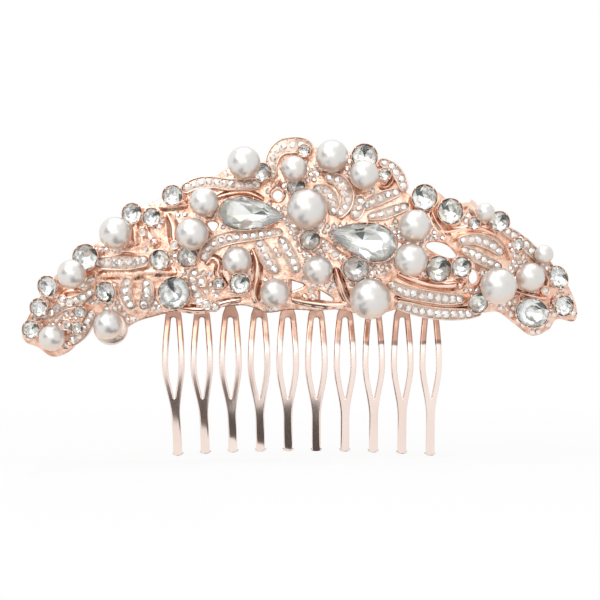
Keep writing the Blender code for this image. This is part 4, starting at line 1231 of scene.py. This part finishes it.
class HAIRCOMB_OT_stage(Operator):
    """Camera, floor and soft studio light"""

    bl_idname = "hair_comb.stage"
    bl_label = "Studio"

    def execute(self, context):
        look = settings("stage")
        scene = context.scene
        scene.view_settings.view_transform = "Standard"
        centre = Vector(look.view_centre)
        self.place_camera(scene, centre, look)
        self.lay_floor(look)
        self.hang_world(scene, look)
        self.hang_lamp("key_softbox", (-0.42, -0.6, 0.65), 0.8, look.key_power)
        self.hang_lamp("top_softbox", (0.0, 0.15, 1.2), 1.3, look.top_power)
        self.hang_lamp("front_softbox", (-0.12, -0.9, 0.02), 0.9, look.front_power)
        self.hang_card("left_card", self.cloth("grey_cloth", look.card_cloth), (40, 80), (148, 190), 1.1)
        self.hang_card("right_card", self.paper("grey_paper", look.card_paper), (26, 66), (-40, 35), 1.1)
        cloth = self.cloth("dark_cloth", look.mat_cloth)
        level = CAD_BOX[0][2] + 0.5 * MM
        self.lay_mat("left_mat", cloth, (-0.05, -0.0175), (-0.085, -0.07), (-0.02, -0.006), level)
        self.lay_mat("front_mat", cloth, (-0.0175, 0.006), (-0.019, -0.034), (-0.004, 0.003), level)
        sheet = self.paper("mat_paper", look.mat_paper)
        self.lay_mat("far_mat", sheet, (-0.048, -0.012), (-0.5, -0.5), (-0.07, -0.035), level - 0.1 * MM)
        corners = [(-0.05, -0.5, level), (-0.0125, -0.5, level), (-0.0125, -0.5, 0.03), (-0.05, -0.5, 0.03)]
        self.put_up("left_stand", sheet, corners, [(0, 1, 2, 3)])
        return {"FINISHED"}

    @staticmethod
    def place_camera(scene, centre, look):
        camera = bpy.data.cameras.new("camera")
        camera.sensor_width = 36
        camera.lens = 36 * look.camera_distance / look.view_width
        holder = new_object("camera", camera)
        holder.location = centre + Vector((0, -look.camera_distance, 0))
        holder.rotation_euler = (math.pi / 2, 0, 0)
        scene.camera = holder

    @staticmethod
    def lay_floor(look):
        finish = Finish("studio_floor")
        grain = finish.noise(9, 2)
        surface = finish.surface(
            base_color=finish.blend(grain, look.floor_colour, lighter(look.floor_colour, 0.98)),
            roughness=0.7 + 0.1 * grain,
        )
        white = finish.add("ShaderNodeEmission", sockets={"Color": (1, 1, 1, 1), "Strength": 1.0})
        dull = Reading(finish, finish.shader.outputs["BSDF"])
        reach = finish.add(
            "ShaderNodeVectorMath", {"operation": "LENGTH"}, {0: finish.places()}, output="Value"
        )
        far = finish.ramp(reach * 2, [(0.15, 0), (0.8, 1)])
        glow = look.floor_glow + (1 - look.floor_glow) * far
        mixed = finish.add("ShaderNodeMixShader", sockets={0: glow * seen_light(finish), 1: dull, 2: white})
        finish.join(finish.tree.nodes["Material Output"].inputs["Surface"], mixed)
        half = look.floor_size / 2
        level = CAD_BOX[0][2] - 0.2 * MM
        mesh = bpy.data.meshes.new("floor")
        corners = [(-half, -half, level), (half, -half, level), (half, half, level), (-half, half, level)]
        mesh.from_pydata(corners, [], [(0, 1, 2, 3)])
        mesh.materials.append(surface)
        new_object("floor", mesh)

    @staticmethod
    def hang_world(scene, look):
        world = bpy.data.worlds.new("studio")
        world.use_nodes = True
        scene.world = world
        nodes = Nodes(world.node_tree)
        strength = look.sky_strength + (1 - look.sky_strength) * seen_light(nodes)
        background = world.node_tree.nodes["Background"]
        background.inputs["Color"].default_value = (1, 1, 1, 1)
        nodes.join(background.inputs["Strength"], strength)

    @staticmethod
    def hang_lamp(name, place, size, power):
        lamp = bpy.data.lights.new(name, "AREA")
        lamp.size = size
        lamp.energy = power
        holder = new_object(name, lamp)
        holder.location = place
        holder.rotation_euler = (-Vector(place)).to_track_quat("-Z", "Y").to_euler()
        holder.visible_camera = False

    @staticmethod
    def cloth(name, tone):
        finish = Finish(name)
        weave = finish.blend(finish.noise(40, 2), tone, lighter(tone, 1.3))
        return finish.surface(base_color=weave, roughness=0.9)

    @staticmethod
    def paper(name, tone):
        """Grey paper with painted light: it glows as if lit."""
        finish = Finish(name)
        fibres = finish.blend(finish.noise(40, 2), tone, lighter(tone, 1.06))
        return finish.surface(base_color=fibres, roughness=0.9, emission_color=fibres, emission_strength=1.0)

    def hang_card(self, name, cloth, polar, clock, reach):
        """A card of cloth or of grey paper that glows as if lit, part of a sphere round the ornament.

        Polar angles are from straight in front and clock angles from the right over the top, in degrees.
        """
        rows, columns = 5, 13
        points = []
        for i in range(rows):
            away = math.radians(polar[0] + (polar[1] - polar[0]) * i / (rows - 1))
            for j in range(columns):
                hour = math.radians(clock[0] + (clock[1] - clock[0]) * j / (columns - 1))
                aside = math.sin(away)
                place = Vector((aside * math.cos(hour), -math.cos(away), aside * math.sin(hour)))
                points.append(place * reach)
        faces = []
        for i in range(rows - 1):
            for j in range(columns - 1):
                first = i * columns + j
                faces.append((first, first + 1, first + columns + 1, first + columns))
        self.put_up(name, cloth, points, faces)

    def lay_mat(self, name, cloth, across, front, back, level):
        """A mat on the floor, with its front and back edges given at its left and right ends."""
        left, right = across
        corners = [
            (left, front[0], level), (right, front[1], level), (right, back[1], level), (left, back[0], level)
        ]
        self.put_up(name, cloth, corners, [(0, 1, 2, 3)])

    @staticmethod
    def put_up(name, cloth, points, faces):
        """A thing that only metal, pearls and glass reflect."""
        mesh = bpy.data.meshes.new(name)
        mesh.from_pydata(points, [], faces)
        mesh.materials.append(cloth)
        card = new_object(name, mesh)
        card.visible_camera = False
        card.visible_diffuse = False
        card.visible_shadow = False


class HAIRCOMB_OT_comb(Operator):
    """The stamped comb: a bar and a row of teeth with long eyes"""

    bl_idname = "hair_comb.comb"
    bl_label = "Comb"

    ACROSS = (-1, -0.45, 0, 0.45, 1)

    def execute(self, context):
        self.sizes = settings("comb")
        self.dome = Dome()
        shape = bmesh.new()
        centres = self.tooth_centres()
        for i, x in enumerate(centres):
            self.add_tooth(shape, x, self.tip_of(i))
        self.add_bar(shape, centres)
        bmesh.ops.remove_doubles(shape, verts=shape.verts, dist=0.001 * MM)
        for vertex in shape.verts:
            vertex.co = self.bent(vertex.co.x, vertex.co.z)
        face_front(shape)
        finishes = [kept(comb_rose_gold), kept(plain_comb_gold)]
        piece = new_piece("comb_sheet", shape, finishes, ["comb"], closed=False)
        thicken(piece, self.sizes.thickness, 0, self.sizes.edge, 4)
        return {"FINISHED"}

    def tooth_centres(self):
        middle = (self.sizes.tooth_count - 1) / 2
        count = self.sizes.tooth_count
        return [self.sizes.offset + (i - middle) * self.sizes.tooth_pitch for i in range(count)]

    def tip_of(self, i):
        middle = (self.sizes.tooth_count - 1) / 2
        return self.sizes.tooth_tip - self.sizes.tip_sweep * ((i - middle) / middle) ** 2

    def bent(self, x, z):
        """A point of the sheet, bent to the dome and below it to the teeth's own curve."""
        sizes = self.sizes
        back = self.dome.front + self.dome.setback
        if z >= sizes.shoulder:
            return Vector((x, back + self.dome.fall(x, z), z))
        drop = sizes.shoulder - z
        throw = sizes.knee_throw * eased(drop / sizes.knee_drop)
        sweep = max(drop - sizes.knee_drop, 0) ** 2 / (2 * sizes.tooth_radius)
        return Vector((x, back + self.dome.fall(x, sizes.shoulder) - throw + sweep, z))

    def half_width(self, z, tip):
        sizes = self.sizes
        neck, root = sizes.neck_width / 2, sizes.root_width / 2
        eye, stem = sizes.eye_width / 2, sizes.stem_width / 2
        if z >= sizes.eye_top:
            return neck + (root - neck) * eased((sizes.neck_level - z) / (sizes.neck_level - sizes.eye_top))
        if z >= sizes.eye_level:
            part = (sizes.eye_top - z) / (sizes.eye_top - sizes.eye_level)
            return root + (eye - root) * math.sin(part * math.pi / 2)
        if z >= sizes.stem_top:
            return eye + (stem - eye) * eased((sizes.eye_level - z) / (sizes.eye_level - sizes.stem_top))
        corner = sizes.tip_round
        inside = max(corner - (z - tip), 0)
        return stem - corner + math.sqrt(max(corner * corner - inside * inside, 0))

    @staticmethod
    def heights(top, bottom, step):
        count = max(round((top - bottom) / step), 1)
        return [top + (bottom - top) * i / count for i in range(count + 1)]

    def add_tooth(self, shape, x, tip):
        """A tooth in four-sided faces: neck, two legs round an eye with round ends, and stem."""
        sizes = self.sizes
        leaning = sizes.stem_lean * max(-x, 0) / (sizes.tooth_pitch * sizes.tooth_count / 2)

        def corner(z, aside):
            lean = leaning * eased((sizes.eye_level - z) / (sizes.eye_level - tip))
            return shape.verts.new((x + lean + aside, 0, z))

        def whole(z):
            return [corner(z, self.half_width(z, tip) * part) for part in self.ACROSS]

        def split(z):
            half = self.half_width(z, tip)
            inner = half - sizes.leg_width
            return [corner(z, aside) for aside in (-half, -inner, inner, half)]

        def join(rows):
            for a, b in zip(rows, rows[1:]):
                for i in range(0, len(a) - 1, 2 if len(a) == 4 else 1):
                    shape.faces.new((a[i], a[i + 1], b[i + 1], b[i]))

        def close_eye(row, legs, end):
            level = legs[0].co.z
            aside = self.half_width((level + row[0].co.z) / 2, tip)
            between = [corner((level + row[0].co.z) / 2, side * aside) for side in (-1, 1)]
            outside = [legs[0], between[0], *row, between[1], legs[3]]
            middle = (legs[1].co + legs[2].co) / 2
            reach = (legs[2].co - legs[1].co).length / 2
            inside = [legs[1]]
            for i in range(1, len(outside) - 1):
                angle = math.pi * (1 - i / (len(outside) - 1))
                rise = Vector((reach * math.cos(angle), 0, (end - level) * math.sin(angle)))
                inside.append(shape.verts.new(middle + rise))
            inside.append(legs[2])
            for i in range(len(outside) - 1):
                shape.faces.new((outside[i], outside[i + 1], inside[i + 1], inside[i]))

        turns = [math.radians(angle) for angle in (90, 70, 50, 30, 0)]
        stem_rows = [tip + sizes.tip_round * (1 - math.cos(turn)) for turn in turns]
        neck = [whole(z) for z in self.heights(sizes.bar_bottom, sizes.eye_top + sizes.eye_margin, 0.5 * MM)]
        legs = [split(z) for z in self.heights(
            sizes.eye_top - sizes.eye_round, sizes.eye_bottom + sizes.eye_round, 0.5 * MM)]
        stem = [whole(z) for z in self.heights(sizes.eye_bottom - sizes.eye_margin, stem_rows[0], 0.5 * MM)]
        stem += [whole(z) for z in stem_rows[1:]]
        join(neck)
        join(legs)
        join(stem)
        close_eye(neck[-1], legs[0], sizes.eye_top)
        close_eye(stem[0], legs[-1], sizes.eye_bottom)

    def add_bar(self, shape, centres):
        sizes = self.sizes
        neck = sizes.neck_width / 2
        ends = [centres[0] - sizes.root_width / 2, centres[-1] + sizes.root_width / 2]
        across = sorted(ends + [x + neck * part for x in centres for part in self.ACROSS])
        count = 5
        rows = []
        for i in range(count + 1):
            z = sizes.bar_bottom + sizes.bar_height * i / count
            rows.append([shape.verts.new((x, 0, z)) for x in across])
        for a, b in zip(rows, rows[1:]):
            for i in range(len(across) - 1):
                shape.faces.new((a[i], a[i + 1], b[i + 1], b[i]))


def closed_loop(points, steps):
    """A smooth closed loop through points in millimetres."""
    flat = [Vector(point) * MM for point in points]
    count = len(flat)
    loop = []
    for i in range(count):
        four = [flat[(i + step) % count] for step in (-1, 0, 1, 2)]
        loop += [spline(*four, step / steps) for step in range(steps)]
    return loop


def enclosed(point, loop):
    """Whether a point is inside a closed loop."""
    x, z = point
    inside = False
    for a, b in zip(loop, loop[1:] + loop[:1]):
        if (a.y > z) != (b.y > z) and x < a.x + (z - a.y) * (b.x - a.x) / (b.y - a.y):
            inside = not inside
    return inside


class HAIRCOMB_OT_plate(Operator):
    """The openwork plate that carries the ornament"""

    bl_idname = "hair_comb.plate"
    bl_label = "Plate"

    def execute(self, context):
        sizes = settings("shape")
        dome = Dome()
        shape = bmesh.new()
        self.fill(shape, dome, 2.5 * MM)
        face_front(shape)
        finishes = [kept(cast_rose_gold), kept(plain_rose_gold)]
        piece = new_piece("plate", shape, finishes, ["cast_frame"], closed=False)
        thicken(piece, sizes.plate_thickness, -1, sizes.plate_edge, 2)
        return {"FINISHED"}

    @staticmethod
    def fill(shape, dome, cell):
        """Triangles between the outline and the openings, with points on a grid in between."""
        outline = closed_loop(PLATE_OUTLINE, 5)
        holes = [closed_loop(points, 4) for points in OPENINGS.values()]
        points, edges = [], []
        for loop in [outline, *holes]:
            first = len(points)
            points += loop
            edges += [(first + i, first + (i + 1) % len(loop)) for i in range(len(loop))]
        lines = KDTree(len(points))
        for i, point in enumerate(points):
            lines.insert((*point, 0), i)
        lines.balance()
        for i in range(round(CAD_BOX[0][0] / cell), round(CAD_BOX[1][0] / cell)):
            for j in range(round(CAD_BOX[0][2] / cell), round(CAD_BOX[1][2] / cell)):
                spot = Vector((i + 0.5 * (j % 2), j)) * cell
                if lines.find((*spot, 0))[2] > 0.4 * cell:
                    points.append(spot)
        corners, _, faces, *_ = delaunay_2d_cdt(points, edges, [], 0, 1e-9)
        verts = [shape.verts.new(dome.point(*corner, 0)) for corner in corners]
        for face in faces:
            middle = sum((corners[i] for i in face), Vector((0, 0))) / len(face)
            if enclosed(middle, outline) and not any(enclosed(middle, hole) for hole in holes):
                shape.faces.new([verts[i] for i in face])
        bmesh.ops.delete(shape, geom=[vert for vert in verts if not vert.link_faces], context="VERTS")


class HAIRCOMB_OT_bands(Operator):
    """Leaves and bands with fine rims, filled with tiny stones held by grains"""

    bl_idname = "hair_comb.bands"
    bl_label = "Stone Bands"

    def execute(self, context):
        dome = Dome()
        gems = Gems(dome)
        shape = bmesh.new()
        stones, grains = Field(), Field()
        for rise, points in BANDS.values():
            line = Line(points)
            run_section(shape, line, rise * MM, channel_section, dome, gems, CHANNEL_FLOOR)
            fill_band(stones, grains, line, rise * MM, dome, gems)
        for x, z, width in ACCENTS:
            x, z, width = x * MM, z * MM, width * MM
            stones.add(dome.point(x, z, 1.5 * MM), dome.out(x, z), width)
        self.fill_ground(stones, grains, dome)
        self.add_boss(shape, dome, *[part * MM for part in BOSS])
        pale = kept(pale_plating)
        finishes = [pale, kept(shaded_plating)]
        new_piece("bands", shape, finishes, ["cast_frame"], smooth_angle=35)
        tree = setting_tree("tiny_stones", tiny_stone)
        stones.set_in_place("tiny_stones", tree, kept(pave_crystal), "crystal", 0.28, 3)
        tree = setting_tree("grains", grain)
        grains.set_in_place("grains", tree, pale, "rose_gold_cast", 0.0, 5)
        return {"FINISHED"}

    @staticmethod
    def add_boss(shape, dome, x, z, radius):
        """The round boss behind the pearl that hangs at the lower left."""
        rim = 0.8 * MM
        lip = arc((radius - rim, -rim), rim, 80, 0, 5)
        profile = [(0, 0.1 * MM), *lip, (radius * 0.8, -2.4 * MM), (0, -2.4 * MM)]
        turned(shape, profile, 40, upright(FRONT, dome.point(x, z, 1.6 * MM)))

    @staticmethod
    def fill_ground(stones, grains, dome):
        """Clusters of tiny stones where the plate lies bare."""
        sizes = settings("shape")
        pitch = sizes.ground_pitch
        outline = closed_loop(PLATE_OUTLINE, 8)
        holes = [closed_loop(points, 4) for points in OPENINGS.values()]
        edges = [(point, 0.8 * MM) for loop in [outline, *holes] for point in loop]
        for _, rows in [*BANDS.values(), *SCROLLS.values()]:
            edges += [(sample.xy, sample.z / 2 + pitch * 0.4) for sample in Line(rows).samples]
        tree = KDTree(len(edges))
        for i, (point, _) in enumerate(edges):
            tree.insert((*point, 0), i)
        tree.balance()
        chance = random.Random(11)
        for row in range(round(45 * MM / pitch)):
            for column in range(round(114 * MM / pitch)):
                x = (column + 0.5 * (row % 2) + chance.uniform(-0.14, 0.14)) * pitch - 57 * MM
                z = (row + chance.uniform(-0.14, 0.14)) * pitch * 0.9 - 9 * MM
                near = tree.find_range((x, z, 0), 2.6 * MM)
                bare = enclosed((x, z), outline) and not any(enclosed((x, z), hole) for hole in holes)
                clustered = noise.noise((x * 160, z * 160, 3)) > -0.3
                if bare and clustered and all(away > edges[i][1] for _, i, away in near):
                    stones.add(dome.point(x, z, 0.1 * MM), dome.out(x, z), pitch * 0.94)
                    grains.add(dome.point(x, z + pitch * 0.52, 0.1 * MM), dome.out(x, z), sizes.bead_size)


class HAIRCOMB_OT_scrolls(Operator):
    """Plain polished scrolls, small balls and collets between the bands"""

    bl_idname = "hair_comb.scrolls"
    bl_label = "Scrolls"

    def execute(self, context):
        sizes = settings("shape")
        dome = Dome()
        gems = Gems(dome)
        shape = bmesh.new()
        for rise, points in SCROLLS.values():
            rough = SCROLL_SIDES if rise < POLISHED_RISE else ()
            run_section(shape, Line(points), SCROLL_RISE * rise * MM, scroll_section, dome, gems, rough)
        for x, z, width in KNOTS:
            self.add_ball(shape, dome, x * MM, z * MM, width * MM)
        for x, z, width in ACCENTS:
            self.add_collet(shape, dome, x * MM, z * MM, width * MM, sizes)
        self.add_ring(shape, dome, *[part * MM for part in EYELET])
        finishes = [kept(polished_rose_gold), kept(cast_rose_gold)]
        new_piece("scrolls", shape, finishes, ["cast_frame"], smooth_angle=40)
        return {"FINISHED"}

    @staticmethod
    def add_ball(shape, dome, x, z, width):
        place = dome.frame(x, z, 1.2 * MM)
        ball = arc((0, 0), width / 2, 90, -90, 10)
        turned(shape, [(0, width / 2), *ball[1:-1], (0, -width / 2)], 20, place)

    @staticmethod
    def add_ring(shape, dome, x, z, radius):
        tube = 0.28 * MM
        place = dome.frame(x, z, 0.1 * MM)
        count, sides = 28, 8
        rows = []
        for i in range(count):
            turn = Matrix.Rotation(2 * math.pi * i / count, 4, "Z")
            section = arc((radius - tube, 0), tube, 0, 360 * (sides - 1) / sides, sides - 1)
            rows.append([shape.verts.new(place @ turn @ Vector((away, 0, level))) for away, level in section])
        for a, b in zip(rows, rows[1:] + rows[:1]):
            for i in range(sides):
                j = (i + 1) % sides
                shape.faces.new((a[i], b[i], b[j], a[j]))

    @staticmethod
    def add_collet(shape, dome, x, z, width, sizes):
        place = dome.frame(x, z, 0)
        radius = width / 2
        wall = 0.25 * MM
        top = 1.55 * MM
        lip = arc((radius + wall / 2, top), wall / 2, 180, 0, 4)
        foot = -sizes.plate_thickness / 2
        seat = top - 0.2 * MM
        profile = [(0, seat), (radius, seat), *lip, (radius + wall, foot), (0, foot)]
        turned(shape, profile, 20, place)


class HAIRCOMB_OT_holders(Operator):
    """Collets round the stones and cups under the pearls"""

    bl_idname = "hair_comb.holders"
    bl_label = "Collets and Cups"

    def execute(self, context):
        sizes = settings("shape")
        gems = Gems(Dome())
        shape = bmesh.new()
        for stone in gems.stones:
            collet(shape, stone, sizes)
        for pearl in gems.pearls:
            pearl_cup(shape, pearl, sizes)
        finish = kept(cast_rose_gold)
        new_piece("collets_and_cups", shape, [finish], ["cast_frame"], smooth_angle=45)
        return {"FINISHED"}


class HAIRCOMB_OT_stones(Operator):
    """Brilliant-cut stones with foiled backs, and their claws"""

    bl_idname = "hair_comb.stones"
    bl_label = "Cut Stones"

    def execute(self, context):
        sizes = settings("shape")
        gems = Gems(Dome())
        crystal = kept(cut_crystal)
        foils = [kept(silver_foil), kept(dark_foil)]
        claws = Field()
        for stone in gems.stones:
            shape = bmesh.new()
            cut_stone(shape, stone)
            new_piece(stone.node + "_cut", shape, [crystal, *foils], [stone.node])
            self.add_claws(claws, stone, sizes.claw_size)
        tree = setting_tree("claws", grain)
        claws.set_in_place("claws", tree, kept(polished_rose_gold), "rose_gold_cast", 0.0, 7)
        return {"FINISHED"}

    @staticmethod
    def add_claws(claws, stone, width):
        count = 6 if stone.plan else 4
        level = stone.width * PAVILION_SHARE + 0.12 * MM
        out = (stone.place.to_3x3() @ Vector((0, 0, 1))).normalized()
        for i in range(count):
            angle = 2 * math.pi * (i + 0.5) / count
            point = Vector((math.cos(angle), math.sin(angle), 0)) * (stone.width / 2)
            point.z = level
            claws.add(stone.place @ (stone.plan(point) if stone.plan else point), out, width)


class HAIRCOMB_OT_pearls(Operator):
    """Imitation pearls"""

    bl_idname = "hair_comb.pearls"
    bl_label = "Pearls"

    def execute(self, context):
        nacre = kept(pearl_nacre)
        # The painted reflection on each pearl grows away from this direction
        towards = Vector((-0.05, -0.75, 0.66)).normalized()
        for pearl in Gems(Dome()).pearls:
            shape = bmesh.new()
            ball = arc((0, pearl.radius), pearl.radius, 90, -90, 26)
            turned(shape, [(0, 2 * pearl.radius), *ball[1:-1], (0, 0)], 48, pearl.place)
            depth = shape.verts.layers.float.new(PEARL_DEPTH)
            centre = pearl.place @ Vector((0, 0, pearl.radius))
            for vertex in shape.verts:
                vertex[depth] = 0.5 - towards.dot(vertex.co - centre) / (2 * pearl.radius)
            new_piece(pearl.node + "_ball", shape, [nacre], [pearl.node], smooth_angle=60)
        return {"FINISHED"}


OPERATORS = [
    HAIRCOMB_OT_stage, HAIRCOMB_OT_comb, HAIRCOMB_OT_plate, HAIRCOMB_OT_bands, HAIRCOMB_OT_scrolls,
    HAIRCOMB_OT_holders, HAIRCOMB_OT_stones, HAIRCOMB_OT_pearls,
]
GROUPS = {"shape": ShapeSettings, "comb": CombSettings, "finish": FinishSettings, "stage": StageSettings}


class HAIRCOMB_PT_panel(Panel):
    """Builds the hair comb's pieces and shows their settings"""

    bl_idname = "HAIRCOMB_PT_panel"
    bl_label = "Hair Comb"
    bl_space_type = "VIEW_3D"
    bl_region_type = "UI"
    bl_category = "Hair Comb"

    def draw(self, context):
        for operator in OPERATORS:
            self.layout.operator(operator.bl_idname)
        for name, group in GROUPS.items():
            box = self.layout.box()
            box.label(text=name.title())
            for setting in group.__annotations__:
                box.prop(settings(name), setting)


def register():
    for group in GROUPS.values():
        bpy.utils.register_class(group)
    for name, group in GROUPS.items():
        setattr(bpy.types.Scene, "hair_comb_" + name, PointerProperty(type=group))
    for operator in OPERATORS:
        bpy.utils.register_class(operator)
    bpy.utils.register_class(HAIRCOMB_PT_panel)


def unregister():
    bpy.utils.unregister_class(HAIRCOMB_PT_panel)
    for operator in reversed(OPERATORS):
        bpy.utils.unregister_class(operator)
    for name in GROUPS:
        delattr(bpy.types.Scene, "hair_comb_" + name)
    for group in GROUPS.values():
        bpy.utils.unregister_class(group)


def main():
    register()
    bpy.ops.hair_comb.stage()
    bpy.ops.hair_comb.comb()
    bpy.ops.hair_comb.plate()
    bpy.ops.hair_comb.bands()
    bpy.ops.hair_comb.scrolls()
    bpy.ops.hair_comb.holders()
    bpy.ops.hair_comb.stones()
    bpy.ops.hair_comb.pearls()


if __name__ == "__main__":
    main()
